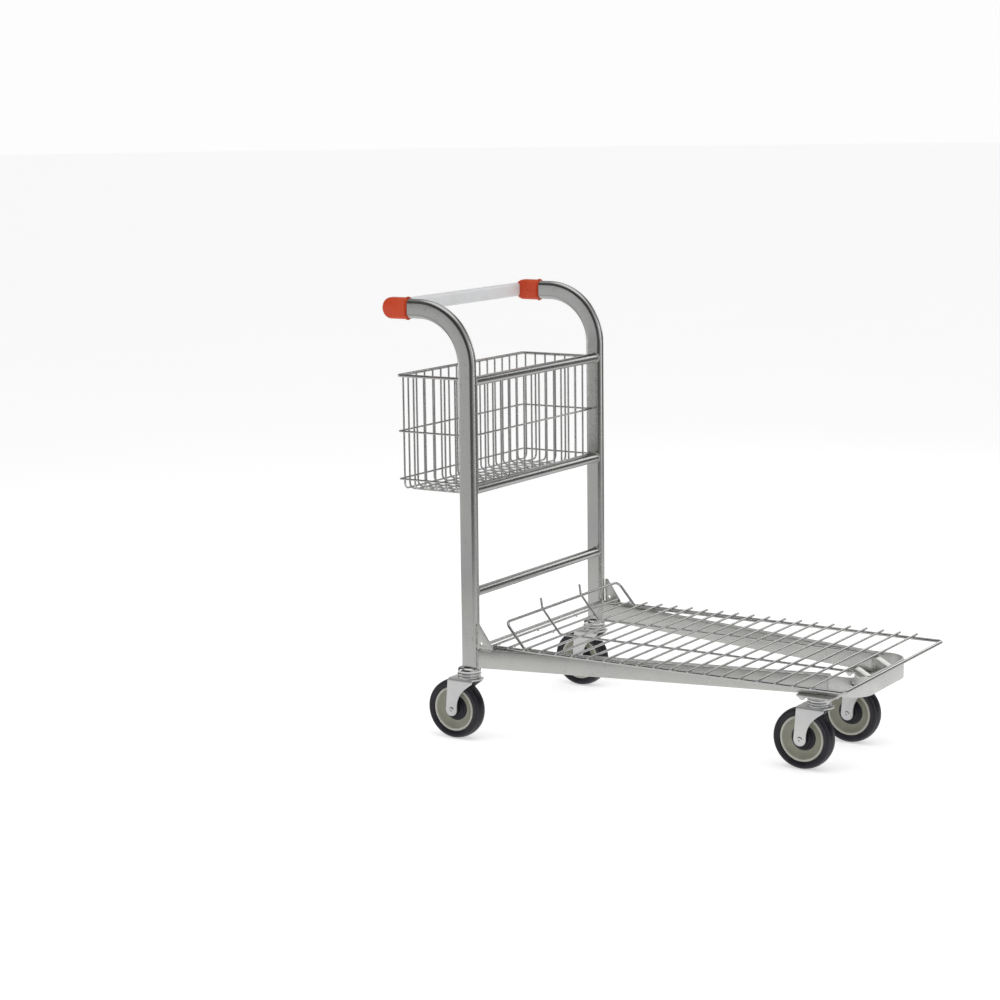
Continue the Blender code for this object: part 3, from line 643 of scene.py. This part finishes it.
def makeCap(side, s):
    node = "handle_cap_" + side
    low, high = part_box(node)
    tall, wide, spot = high.z - low.z, high.y - low.y, middle(node)
    past = high.x + 2 * s["edge"]
    centre = low.x + tall / 2
    outline = [(past, -tall / 2), (past, tall / 2)]
    outline += arc((centre, 0), (tall / 2, tall / 2), quarter, 3 * quarter, s["endSteps"])
    shell = flatPiece("shell", [outline], wide, s["edge"], finishes["orange"], "XZ", (0, spot.y, spot.z))
    bm = bmesh.new()
    bm.from_mesh(shell.data)
    cut = bmesh.ops.bisect_plane(bm, geom=bm.verts[:] + bm.edges[:] + bm.faces[:], clear_outer=True,
                                 plane_co=(high.x, 0, 0), plane_no=(1, 0, 0))
    rim = [item for item in cut["geom_cut"] if isinstance(item, bmesh.types.BMEdge)]
    bmesh.ops.holes_fill(bm, edges=rim)
    bmesh.ops.recalc_face_normals(bm, faces=bm.faces)
    bm.to_mesh(shell.data)
    bm.free()
    u, v = wide / 2 - s["lip"] * 0.2, tall / 2 - s["lip"] * 0.2
    lipX = high.x - s["lipWidth"] / 2
    loop = [(lipX, spot.y + a * u, spot.z + b * v) for a, b in ((-1, -1), (1, -1), (1, 1), (-1, 1))]
    lip = rod("lip", [loop], s["lip"], True, Bend=wide / 2 * 0.9, Bend_Steps=8, Height=s["lipWidth"],
              Edge=s["lip"] * 0.4, Edge_Steps=3, Finish=finishes["orange"])
    inner = spot.y - sides[side] * wide / 2
    bossX = low.x + (high.x - low.x) * s["bossPlace"]
    r, h, sunk = s["bossRadius"], s["bossHeight"], s["bossSunk"]
    profile = [(0.0, sunk), (r, sunk), (r, h * 0.6), (r * 0.86, h), (r * 0.42, h), (r * 0.30, h * 0.2),
               (0.0, h * 0.1)]
    boss = lathe("boss", profile, finishes["orange"], (bossX, inner, spot.z), "Y", 24, -sides[side])
    cap = joined("grip_cap_" + side, [shell, lip, boss])
    settle(cap, "frame", [node], 40)


def lathe(name, profile, finish, spot, axis="Z", steps=64, way=1):
    # an open or closed (radius, height) outline turned into one closed skin
    bm = bmesh.new()
    ring = [bm.verts.new((radius, 0, height)) for radius, height in profile]
    edges = [bm.edges.new(pair) for pair in zip(ring, ring[1:])]
    if profile[0][0] > 0 and profile[-1][0] > 0:
        edges.append(bm.edges.new((ring[-1], ring[0])))
    bmesh.ops.spin(bm, geom=ring + edges, cent=(0, 0, 0), axis=(0, 0, 1), angle=2 * math.pi, steps=steps)
    bmesh.ops.remove_doubles(bm, verts=bm.verts, dist=1e-6)
    if way < 0:
        bmesh.ops.scale(bm, vec=(1, 1, -1), verts=bm.verts)
    if axis == "Y":
        bmesh.ops.rotate(bm, verts=bm.verts, matrix=Matrix.Rotation(-math.pi / 2, 3, "X"))
    bmesh.ops.translate(bm, vec=spot, verts=bm.verts)
    bmesh.ops.recalc_face_normals(bm, faces=bm.faces)
    return newPiece(name, bm, finish)


def makeHandle(caps, bar):
    for side in sides:
        makeCap(side, caps)
    low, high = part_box("handle_bar")
    spot, wide, tall = middle("handle_bar"), high.x - low.x, high.z - low.z
    path = [(spot.x, low.y, spot.z), (spot.x, high.y, spot.z)]
    sleeve = rod("grip_bar", [path], wide, Height=tall, Edge_Steps=bar["edgeSteps"],
                 Finish=finishes["sleeve"])
    settle(sleeve, "frame", ["handle_bar"], 50)


makeHandle(capSet, barSet)
print("handle made")


# The wire basket between the uprights
basketSet = {"wire": 0.004, "rim": 0.0066, "lapped": 0.0018, "sideWires": 6, "sidePitch": 0.0255, "firstSide": 0.008,
             "longWires": 15, "longPitch": 0.0305, "corner": 0.012, "ringCorner": 0.003, "rings": (0.631, 0.531),
             "dot": 0.0021, "rimPast": 0.004}


def makeBasket(s):
    body, slot = "frame", "zinc_wire"
    sideY, rearX, frontX = middle("basket_side_left").y, middle("basket_rear").x, middle("basket_front").x
    floorZ, top = middle("basket_floor").z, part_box("basket_side_left")[1].z - s["rim"] / 2
    lap, wire, rim = s["lapped"], s["wire"], s["rim"]
    inY, outY, inX, outX = sideY - lap, sideY + lap, rearX + lap, rearX - lap
    bent = {"Bend": s["corner"], "Bend_Steps": 7, "Edge_Steps": 3}
    firstX = rearX + s["firstSide"]
    low = floorZ + lap
    line = [(firstX, inY, top), (firstX, inY, low), (firstX, -inY, low), (firstX, -inY, top)]
    acrossRow = rod("side_wires", [line], wire, Count=s["sideWires"], Step=(s["sidePitch"], 0, 0), **bent)
    settle(acrossRow, body, ["basket_side_left", "basket_side_right", "basket_floor"], 50)
    firstY = -(s["longWires"] - 1) / 2 * s["longPitch"]
    low = floorZ - lap
    line = [(inX, firstY, top), (inX, firstY, low), (frontX, firstY, low), (frontX, firstY, top)]
    alongRow = rod("long_wires", [line], wire, Count=s["longWires"], Step=(0, s["longPitch"], 0), **bent)
    settle(alongRow, body, ["basket_rear", "basket_front"], 50)
    bent["Bend"] = s["ringCorner"]
    frontRing = frontX + 2 * lap
    hoops = [[(outX, outY, z), (frontRing, outY, z), (frontRing, -outY, z), (outX, -outY, z)]
             for z in s["rings"]]
    settle(rod("basket_hoops", hoops, wire, True, **bent), body, sharp=50)
    rimX = frontX + s["rimPast"]
    line = [(rimX, outY, top), (outX, outY, top), (outX, -outY, top), (rimX, -outY, top)]
    edge = rod("basket_rim", [line], rim, Bend=rim * 0.9, Bend_Steps=7, Dome=rim / 2 * 0.97)
    settle(edge, body, sharp=50)
    xs = [firstX + k * s["sidePitch"] for k in range(s["sideWires"])]
    ys = [firstY + k * s["longPitch"] for k in range(s["longWires"])]
    spots = [(x, way * sideY, z) for x in xs for way in (-1, 1) for z in (*s["rings"], top)]
    spots += [(rearX, y, z) for y in ys for z in (*s["rings"], top)]
    spots += [(frontX + lap, y, z) for y in ys for z in s["rings"]]
    spots += [(x, y, floorZ) for x in xs for y in ys]
    settle(weldDots("basket_weld_dots", spots, s["dot"]), body, sharp=80)


makeBasket(basketSet)
print("basket made")


# Rails, gussets and the front bow
chassisSet = {"railWidth": 0.020, "railEdge": 0.003, "railBeadBend": 0.003, "bowThick": 0.004, "bowEdge": 0.0012,
              "bowCorner": 0.043, "sheetEdge": 0.0006, "gussetNib": 0.006, "gussetHole": (0.010, 0.012),
              "holeRadius": 0.003, "bead": 0.0017, "bowBead": 0.0013, "ripple": 0.0023, "shank": 0.53,
              "collar": 1.15, "collarThick": 0.0012, "domeGap": 0.0015, "plateCorner": 0.008,
              "nutRadius": 0.0065, "nutHeight": 0.005, "nutPlace": (0.0115, 0.0085), "nutLap": 0.0002,
              "stud": (0.0030, 0.0034), "studLength": 0.003, "studDrop": 0.0012}


def railEnds(side, width):
    # middle of the rail's section at its rear and front, from the slanted solid's box and the bow
    way = sides[side]
    low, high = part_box("rail_" + side)
    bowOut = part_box("front_bow")[1].y
    rear = Vector((low.x, way * (max(abs(low.y), abs(high.y)) - width / 2), (low.z + high.z) / 2))
    front = Vector((high.x, way * (bowOut - width / 2), (low.z + high.z) / 2))
    return rear, front, high.z - low.z


def makeRails(s):
    beads, width = [], s["railWidth"]
    for side in sides:
        rear, front, height = railEnds(side, width)
        rail = rod("rail_bar_" + side, [[rear, front]], width, Height=height, Edge=s["railEdge"],
                   Finish=finishes["rail"])
        settle(rail, "frame", ["rail_" + side], 40)
        across, up = Vector((0, width / 2, 0)), Vector((0, 0, height / 2))
        beads.append([rear - across - up, rear - across + up, rear + across + up, rear + across - up])
    welds = weld("rail_welds", beads, s["bead"], True, Bend=s["railBeadBend"], Ripple=s["ripple"])
    settle(welds, "frame", sharp=60)


def makeGussets(s):
    beads = []
    for side, way in sides.items():
        node = "gusset_" + side
        low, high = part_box(node)
        spot, nib = middle(node), s["gussetNib"]
        outline = [(low.x, low.z), (high.x, low.z), (high.x, low.z + nib), (low.x + nib, high.z),
                   (low.x, high.z)]
        u, v = s["gussetHole"]
        hole = circle((low.x + u, low.z + v), s["holeRadius"])
        plate = flatPiece("gusset_plate_" + side, [outline, hole], high.y - low.y, s["sheetEdge"],
                          finishes["plate"], "XZ", (0, spot.y, 0))
        settle(plate, "frame", [node], 30)
        outer = spot.y + way * (high.y - low.y) * 0.5
        beads.append([(low.x, outer, high.z - 0.003), (low.x, outer, low.z + 0.008)])
        beads.append([(low.x + 0.004, outer, low.z), (high.x - 0.001, outer, low.z)])
    welds = weld("gusset_welds", beads, s["bead"], Ripple=s["ripple"])
    settle(welds, "frame", sharp=60)


def makeBow(s):
    low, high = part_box("front_bow")
    thick, height, z = s["bowThick"], high.z - low.z, (low.z + high.z) / 2
    x, y = high.x - thick / 2, high.y - thick / 2
    path = [(low.x, -y, z), (x, -y, z), (x, y, z), (low.x, y, z)]
    bow = rod("front_band", [path], thick, Bend=s["bowCorner"], Bend_Steps=16, Height=height,
              Edge=s["bowEdge"], Edge_Steps=3, Finish=finishes["band"])
    settle(bow, "frame", ["front_bow"], 40)
    outer = y + thick / 2
    joint = [[(low.x, way * outer, z - height / 2), (low.x, way * outer, z + height / 2)] for way in (-1, 1)]
    seams = weld("band_welds", joint, s["bowBead"], Ripple=s["ripple"])
    settle(seams, "frame", sharp=60)


def makeHingePin(s):
    low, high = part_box("hinge_pin")
    spot, head = middle("hinge_pin"), (high.z - low.z) / 2
    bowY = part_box("front_bow")[1].y
    shank, dome = head * s["shank"], bowY + s["domeGap"]
    half = [(shank, bowY), (head * s["collar"], bowY), (head * s["collar"], bowY + s["collarThick"]),
            (head, dome)]
    half += arc((0, dome), (head, high.y - spot.y - dome), 0, quarter, 8)
    pin = lathe("hinge_rod", mirror(half) + half, finishes["ring"], (spot.x, 0, spot.z), "Y", 32)
    settle(pin, "frame", ["hinge_pin"], 35)


def makeNut(s, place):
    bm = bmesh.new()
    radius, tall = s["nutRadius"], s["nutHeight"]
    bmesh.ops.create_cone(bm, cap_ends=True, segments=6, radius1=radius, radius2=radius, depth=tall)
    bmesh.ops.bevel(bm, geom=bm.edges[:], offset=s["sheetEdge"], segments=2, affect="EDGES")
    tip, root = s["stud"]
    stud = bmesh.ops.create_cone(bm, cap_ends=True, segments=16, radius1=tip, radius2=root,
                                 depth=s["studLength"])
    bmesh.ops.translate(bm, vec=(0, 0, -tall / 2 - s["studDrop"]), verts=stud["verts"])
    bmesh.ops.translate(bm, vec=place, verts=bm.verts)
    return newPiece("nut", bm, finishes["ring"])


def makePlates(s):
    for side in sides:
        node = "caster_plate_" + side
        low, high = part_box(node)
        spot = middle(node)
        u, v = (high.x - low.x) / 2, (high.y - low.y) / 2
        outline = roundCorners([(-u, -v), (u, -v), (u, v), (-u, v)], s["plateCorner"])
        plate = flatPiece("plate", [outline], high.z - low.z, s["sheetEdge"], finishes["plate"], "XY", spot)
        inX, inY = s["nutPlace"]
        z = low.z - s["nutHeight"] / 2 + s["nutLap"]
        nuts = [makeNut(s, (spot.x + a * (u - inX), spot.y + b * (v - inY), z)) for a in (-1, 1)
                for b in (-1, 1)]
        settle(joined("bolted_plate_" + side, [plate, *nuts]), "frame", [node], 30)


for make in (makeRails, makeGussets, makeBow, makeHingePin, makePlates):
    make(chassisSet)
print("chassis made")


# The wire deck on its hinge
deckSet = {"frameWire": 0.007, "crossWire": 0.005, "count": 20, "pitch": 0.0374, "corner": 0.010, "sunk": 0.0009,
           "stopWire": 0.006, "stopCorner": 0.014, "stopLean": 0.044, "middleCorner": 0.008, "middleLean": 0.003,
           "clear": 0.0003, "tipDrop": 0.0005, "dot": 0.0026, "dotFlat": (1.0, 1.15, 0.75),
           "stopDotDrop": 0.0005, "middleDotDrop": 0.0015, "cornerWeld": (0.004, 0.001, 0.003),
           "lugWall": 0.0035, "lugEdge": 0.0006, "lugStart": 30}


def makeDeck(s):
    body, slot = "deck", "zinc_wire"
    low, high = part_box("deck_frame")
    half, level = s["frameWire"] / 2, middle("deck_frame").z
    x0, x1, y = low.x + half, high.x - half, high.y - half
    loop = [(x0, -y, level), (x1, -y, level), (x1, y, level), (x0, y, level)]
    edge = rod("deck_edge_wire", [loop], 2 * half, True, Bend=s["corner"], Bend_Steps=8)
    settle(edge, body, ["deck_frame"], 50)
    gridHigh, wire, count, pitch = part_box("deck_grid")[1], s["crossWire"], s["count"], s["pitch"]
    gridZ, tip = middle("deck_grid").z - s["sunk"], gridHigh.y - wire / 2
    first = gridHigh.x - wire - (count - 1) * pitch
    cross = rod("deck_cross_wires", [[(first, -tip, gridZ), (first, tip, gridZ)]], wire, Bend=0.0,
                Count=count, Step=(pitch, 0, 0), Dome=wire / 2 * roundShare)
    settle(cross, body, ["deck_grid"], 50)
    stopY, middleY = makeStops(s, body)
    top = level + half
    lines = [(y, top), (stopY, top - s["stopDotDrop"]), (middleY, top - s["middleDotDrop"])]
    spots = [(first + k * pitch, way * across, z) for k in range(count) for across, z in lines
             for way in (-1, 1)]
    settle(weldDots("deck_weld_dots", spots, s["dot"], Flat=s["dotFlat"]), body, sharp=80)
    back, near, over = s["cornerWeld"]
    blob = weld("deck_corner_weld", [[(x1 - back, -y, level), (x1 - near, -y + over, level)]], half * 1.12)
    settle(blob, body, sharp=80)


def makeStops(s, body):
    low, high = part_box("stop_loop")
    half = s["stopWire"] / 2
    y, z0, z1 = high.y - half, low.z + half, high.z - half
    topX, footX = low.x + half, low.x + half + s["stopLean"]
    path = [(high.x, -y, z0), (footX, -y, z0), (topX, -y, z1), (topX, y, z1), (footX, y, z0), (high.x, y, z0)]
    loop = rod("load_stop", [path], 2 * half, Bend=s["stopCorner"], Bend_Steps=7, Dome=half * roundShare)
    settle(loop, body, ["stop_loop"], 50)
    thin = s["crossWire"] / 2
    for side in sides:
        node = "middle_wire_" + side
        low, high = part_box(node)
        spot, z0 = middle(node), low.z + thin
        foot, back = footX - s["stopWire"] - s["clear"], low.x + s["middleLean"] + thin
        path = [(high.x, spot.y, z0), (foot, spot.y, z0), (back, spot.y, z1),
                (low.x + thin, spot.y, high.z - s["tipDrop"])]
        wire = rod("turned_up_wire_" + side, [path], 2 * thin, Bend=s["middleCorner"], Bend_Steps=5,
                   Dome=thin * roundShare)
        settle(wire, body, [node], 50)
    return y, abs(spot.y)


def makeLugs(s):
    for side in sides:
        node = "hinge_lug_" + side
        low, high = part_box(node)
        pin, spot = middle("hinge_pin"), middle(node)
        bore = size("hinge_pin").z / 2 * chassisSet["shank"] + s["lugEdge"]
        outer, top, back = bore + s["lugWall"], high.z - pin.z, low.x - pin.x
        outline = [(back, top - s["lugWall"]), (back, top)]
        outline += arc((0, 0), (outer, outer), math.radians(s["lugStart"]), -math.pi, 20)
        lug = flatPiece("hinge_eye_" + side, [outline, circle((0, 0), bore)], high.y - low.y, s["lugEdge"],
                        finishes["plate"], "XZ", (pin.x, spot.y, pin.z))
        settle(lug, "deck", [node], 35)


makeDeck(deckSet)
makeLugs(deckSet)
print("deck made")


# Swivel casters
casterSet = {"steps": 72, "wall": 0.0026, "foldRadius": 0.006, "foldIn": 0.003, "rearTop": -0.008,
             "crownPlace": 0.95, "flare": 2.6, "noseRound": 1.08, "edge": 0.0007,
             "rings": [(0.96, 0.0, 0.19), (1.0, 0.27, 0.47)], "neck": 0.74, "gap": 0.08, "cup": (0.60, 0.37),
             "cupRise": (0.28, 0.72), "rivet": 0.0062, "dimple": 0.0026, "grooves": 6, "grooveDepth": 0.0019,
             "crown": 0.0013, "shoulder": 0.0068, "wallRound": (0.0055, 0.0062), "rimLip": 0.0042,
             "dish": 0.0075}


def makeHead(corner, s):
    # stacked pressed rings with dark gaps between them, under a domed cup
    node = "head_" + corner
    low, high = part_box(node)
    spot, radius, tall = middle(node), (high.x - low.x) / 2, high.z - low.z
    outline = [(0.0, low.z)]
    for share, start, end in s["rings"]:
        r, z0, z1 = radius * share, low.z + tall * start, low.z + tall * end
        bulge = (z1 - z0) / 2
        outline += arc((r - bulge, z0 + bulge), (bulge, bulge), -quarter, quarter, 6)
        outline += [(radius * s["neck"], z1), (radius * s["neck"], z1 + tall * s["gap"])]
    foot = outline[-1][1]
    (inner, reach), (base, rise) = s["cup"], s["cupRise"]
    outline += arc((radius * inner, foot + (high.z - foot) * base), (radius * reach, (high.z - foot) * rise),
                   -quarter / 4, quarter, 12)
    outline.append((0.0, high.z))
    head = lathe("bearing_head_" + corner, dropRepeats(outline), finishes["ring"], (spot.x, spot.y, 0), "Z",
                 s["steps"])
    settle(head, "frame", [node], 40)


def makeFork(corner, s):
    # one pressed strap: up one leg, over the crown and down the other, its width following the leg's outline
    node = "fork_" + corner
    low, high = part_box(node)
    axle = middle("axle_" + corner)
    halfWide, fold, tall = (high.y - low.y) / 2, s["foldRadius"], high.z - axle.z
    end, rearTop, frontTop = axle.z - low.z, s["rearTop"], high.x - axle.x

    def frontAt(z):
        return end + (frontTop - end) * min(z / tall / s["crownPlace"], 1.0) ** s["flare"]

    half = []  # rear edge, front edge, side and height of each station
    for k in range(10):
        angle = -quarter + quarter * k / 9
        reach = max(end * math.cos(angle), 0.0004)
        half.append((-reach, reach, halfWide, end * math.sin(angle)))
    straight = high.z - fold - axle.z
    for k in range(1, 19):
        z = straight * k / 18
        half.append((-end + (rearTop + end) * k / 18, frontAt(z), halfWide, z))
    rear = half[-1][0]
    for k in range(1, 7):
        lean, z = 1 - math.cos(quarter * k / 6), straight + fold * math.sin(quarter * k / 6)
        half.append((rear + s["foldIn"] * lean, frontAt(z), halfWide - fold * lean, z))
    a, b, y, z = half[-1]
    crown = [(a, b, y * (1 - k / 4), z) for k in range(1, 8)]
    swivel = middle("head_" + corner).x - axle.x
    nose = frontTop - swivel
    across, grid = 10, []
    bm = bmesh.new()
    for a, b, y, z in half + crown + [(a, b, -y, z) for a, b, y, z in reversed(half)]:
        # the crown's front is round about the swivel
        b = min(b, swivel + math.sqrt(max(nose ** 2 - (y * s["noseRound"]) ** 2, 0)))
        grid.append([bm.verts.new((axle.x + a + (b - a) * j / across, axle.y + y, axle.z + z))
                     for j in range(across + 1)])
    for near, far in zip(grid, grid[1:]):
        for j in range(across):
            bm.faces.new((near[j], near[j + 1], far[j + 1], far[j]))
    bmesh.ops.recalc_face_normals(bm, faces=bm.faces)
    fork = newPiece("fork_press_" + corner, bm, finishes["fork"])
    faces = fork.data.polygons
    shell = fork.modifiers.new("wall", "SOLIDIFY")
    shell.thickness, shell.offset = s["wall"], -1 if faces[len(faces) // 2].normal.z > 0 else 1
    rim = fork.modifiers.new("rim", "BEVEL")
    rim.width, rim.segments, rim.limit_method, rim.angle_limit = s["edge"], 2, "ANGLE", math.radians(50)
    applyModifiers(fork)
    settle(fork, "caster_" + corner, [node], 40)


def applyModifiers(piece):
    mesh = bpy.data.meshes.new_from_object(piece.evaluated_get(bpy.context.evaluated_depsgraph_get()))
    piece.modifiers.clear()
    piece.data = mesh


def makeAxle(corner, s):
    # a riveted axle: low rounded heads with a punched dimple
    node = "axle_" + corner
    spot = middle(node)
    leg = size("fork_" + corner).y / 2
    shank, rivet, dimple = size(node).z / 2 * 0.58, s["rivet"], s["dimple"]
    half = [(shank, leg - 0.001), (rivet, leg - 0.001), (rivet, leg + 0.0003), (rivet * 0.9, leg + 0.0008),
            (rivet * 0.7, leg + 0.0012), (dimple * 1.25, leg + 0.0013), (dimple, leg + 0.0010),
            (dimple * 0.75, leg - 0.0008), (0.0, leg - 0.0012)]
    pin = lathe("axle_rivet_" + corner, mirror(half) + half, finishes["ring"], spot, "Y", 32)
    settle(pin, "caster_" + corner, [node], 35)


def makeTyre(corner, s):
    node = "tyre_" + corner
    low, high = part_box(node)
    spot, outer, half = middle(node), (high.z - low.z) / 2, (high.y - low.y) / 2
    seat, (round, deep) = size("rim_" + corner).z / 2, s["wallRound"]
    flank = [(seat, -half * 0.72), (seat + 0.0012, -half * 0.84)]
    flank += arc((outer - s["shoulder"], -half + deep), (round, deep), -quarter, 0, 8)
    left, right = flank[-1][1], -flank[-1][1]
    outline, count = list(flank), s["grooves"] * 8
    for k in range(count + 1):
        share = k / count
        crown = s["crown"] * (1 - (2 * share - 1) ** 2)
        notch = max(0.0, math.cos(2 * math.pi * (share * s["grooves"] + 0.5))) ** 3
        outline.append((outer - s["crown"] + crown - s["grooveDepth"] * notch, left + (right - left) * share))
    outline = dropRepeats(outline + mirror(flank))
    tyre = lathe("tread_" + corner, outline, finishes["rubber"], spot, "Y", 96)
    settle(tyre, "wheel_" + corner, [node], 32)


def dropRepeats(outline):
    kept = [outline[0]]
    for point in outline[1:]:
        if (Vector(point) - Vector(kept[-1])).length > 1e-5:
            kept.append(point)
    return kept


def makeRim(corner, s):
    node = "rim_" + corner
    low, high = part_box(node)
    spot, outer, half = middle(node), (high.z - low.z) / 2, (high.y - low.y) / 2
    bore = size("hub_" + corner).z / 2
    lip = outer - s["rimLip"]
    outline = [(outer, 0.0), (outer, half - 0.0012), (outer - 0.0012, half), (lip + 0.0006, half),
               (lip - 0.0004, half - 0.0008), (lip - 0.0010, half - 0.0030)]
    steps = 10
    for k in range(1, steps + 1):
        share = k / steps
        sunk = s["dish"] * (1 - (1 - min(1, share * 1.15)) ** 2)
        outline.append((lip - 0.0010 + (bore - lip) * share, half - 0.0030 - sunk))
    outline += [(bore - 0.001, half - 0.0035 - s["dish"]), (bore - 0.001, 0.0)]
    disc = lathe("rim_disc_" + corner, dropRepeats(outline + mirror(outline)), finishes["rim"], spot, "Y",
                 s["steps"])
    # the raised outer ring takes the lighter copy of the rim plastic: a painted highlight
    disc.data.materials.append(finishes["rimEdge"])
    for face in disc.data.polygons:
        reach = face.center - spot
        face.material_index = int(math.hypot(reach.x, reach.z) > lip - 0.0012)
    settle(disc, "wheel_" + corner, [node], 30)


def makeHub(corner, s):
    node = "hub_" + corner
    low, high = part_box(node)
    spot, outer, half = middle(node), (high.z - low.z) / 2, (high.y - low.y) / 2
    bore = size("axle_" + corner).z / 2 * 0.60
    face = size("rim_" + corner).y / 2 - 0.0030 - s["dish"]
    outline = [(outer, 0.0), (outer, face + 0.0004), (outer * 0.97, face + 0.0016), (outer * 0.80, face + 0.0022),
               (outer * 0.76, face + 0.0012), (outer * 0.66, face + 0.0012), (outer * 0.62, face + 0.0026),
               (outer * 0.50, face + 0.0040), (outer * 0.46, half - 0.0008), (outer * 0.43, half),
               (bore + 0.001, half), (bore, half - 0.001), (bore, 0.0)]
    cover = lathe("hub_cover_" + corner, dropRepeats(outline + mirror(outline)), finishes["hub"], spot, "Y", 48)
    settle(cover, "wheel_" + corner, [node], 30)


for corner in ("rear_left", "rear_right", "front_left", "front_right"):
    for make in (makeHead, makeFork, makeAxle, makeTyre, makeRim, makeHub):
        make(corner, casterSet)
print("casters made")


# Floor and studio light: soft boxes over a white sheet. The metal alone mirrors a room of pale and dark
# panels: ground and wall give the room's brightness by direction round the trolley
studioSet = {"floorRadius": 60, "seen": 0.985, "sky": 0.50, "lift": 0.50, "ceiling": 0.95, "nadir": 0.30,
             "glow": 0.72, "glowRadius": 2.2, "glowDepth": -0.002, "aim": (0, 0, 0.45),
             "ground": ((0.0, 0.60), (0.19, 0.60), (0.23, 0.07), (0.39, 0.07), (0.44, 0.42), (0.58, 0.36),
                        (0.63, 0.13), (0.72, 0.13), (0.78, 0.45), (1.0, 0.60)),
             "wall": ((0.0, 0.10), (0.10, 0.10), (0.18, 0.05), (0.34, 0.05), (0.42, 0.55), (0.56, 0.40),
                      (0.62, 0.06), (0.72, 0.10), (0.79, 0.50), (0.85, 0.50), (0.90, 0.12), (1.0, 0.10)),
             "boxes": {"overhead": ((0.2, -0.6, 3.3), (2.6, 1.6), 1.8, False),
                       "front": ((-1.0, -3.6, 2.4), (1.5, 0.9), 1.5, False),
                       "right": ((3.1, 0.5, 1.3), (0.45, 2.6), 2.0, True),
                       "left": ((-3.0, -1.0, 1.4), (0.6, 2.4), 1.6, True),
                       "back": ((0.6, 3.4, 1.7), (1.6, 1.4), 1.2, True)}}


def makeFloor(s):
    bm = bmesh.new()
    bmesh.ops.create_circle(bm, cap_ends=True, segments=96, radius=s["floorRadius"])
    made, net, shader = newFinish("floorSheet", Roughness=0.75, Specular_IOR_Level=0.2)
    shade = net.noise(objectSpot(net), 1.2, 3.0)
    useMaps(net, shader, Base_Color=net.blend(shade, (0.88, 0.88, 0.88), (0.91, 0.91, 0.91)))
    shader.inputs["Emission Color"].default_value = (1, 1, 1, 1)
    shader.inputs["Emission Strength"].default_value = s["lift"]
    floor = newPiece("floor", bm, made)
    floor.visible_glossy = False  # the metal mirrors the grey room below the horizon


def makeGlow(s):
    # the bright patch of floor round the trolley, which only the metal mirrors
    bm = bmesh.new()
    bmesh.ops.create_circle(bm, cap_ends=True, segments=64, radius=s["glowRadius"])
    made, net, shader = newFinish("floorGlow", Base_Color=(0, 0, 0, 1), Roughness=1.0, Specular_IOR_Level=0.0)
    away = net.add("ShaderNodeVectorMath", {"operation": "LENGTH"}, {0: objectSpot(net)}).of("Value")
    share = net.ramp(away / s["glowRadius"], (0.0, s["glow"]), (0.55, s["glow"]), (1.0, s["glow"] * 0.45))
    useMaps(net, shader, Emission_Color=share)
    shader.inputs["Emission Strength"].default_value = 1.0
    disc = newPiece("floor_glow", bm, made)
    disc.data.transform(Matrix.Translation((0, 0, s["glowDepth"])))
    disc.visible_camera = disc.visible_diffuse = disc.visible_shadow = False


def makeSoftBox(name, spot, across, glow, mirrored):
    data = bpy.data.lights.new(name, "AREA")
    data.shape, data.size, data.size_y = "RECTANGLE", across[0], across[1]
    data.energy = glow * math.pi * across[0] * across[1]
    light = bpy.data.objects.new(name, data)
    bpy.context.collection.objects.link(light)
    light.visible_glossy = mirrored
    light.location = spot
    light.rotation_euler = (Vector(studioSet["aim"]) - Vector(spot)).to_track_quat("-Z", "Y").to_euler()


def makeWorld(s):
    world = bpy.data.worlds.new("studio")
    world.use_nodes = True
    bpy.context.scene.world = world
    net = Net(world.node_tree)
    way = net.add("ShaderNodeTexCoord").of("Generated")
    height = net.add("ShaderNodeSeparateXYZ", {}, {0: way}).of("Z") * 0.5 + 0.5
    turn = net.add("ShaderNodeTexGradient", {"gradient_type": "RADIAL"}, {"Vector": way}).of("Fac")
    ground = net.ramp(turn, *s["ground"])
    low = net.blend(net.ramp(height, (0.25, 0.0), (0.42, 1.0)), (s["nadir"],) * 3, ground)
    wall = net.blend(net.ramp(height, (0.485, 0.0), (0.515, 1.0)), low, net.ramp(turn, *s["wall"]))
    room = net.blend(net.ramp(height, (0.90, 0.0), (0.965, 1.0)), wall, (s["ceiling"],) * 3)
    mirrored = net.add("ShaderNodeLightPath").of("Is Glossy Ray")
    background = world.node_tree.nodes["Background"]
    seen = net.add("ShaderNodeLightPath").of("Is Camera Ray")
    plain = net.blend(seen, (s["sky"],) * 3, (s["seen"],) * 3)
    net.plug(background.inputs["Color"], net.blend(mirrored, plain, room))
    background.inputs["Strength"].default_value = 1.0


makeFloor(studioSet)
makeGlow(studioSet)
makeWorld(studioSet)
for name, box in studioSet["boxes"].items():
    makeSoftBox(name, *box)
bpy.context.scene.view_settings.view_transform = "Standard"
print("studio made")
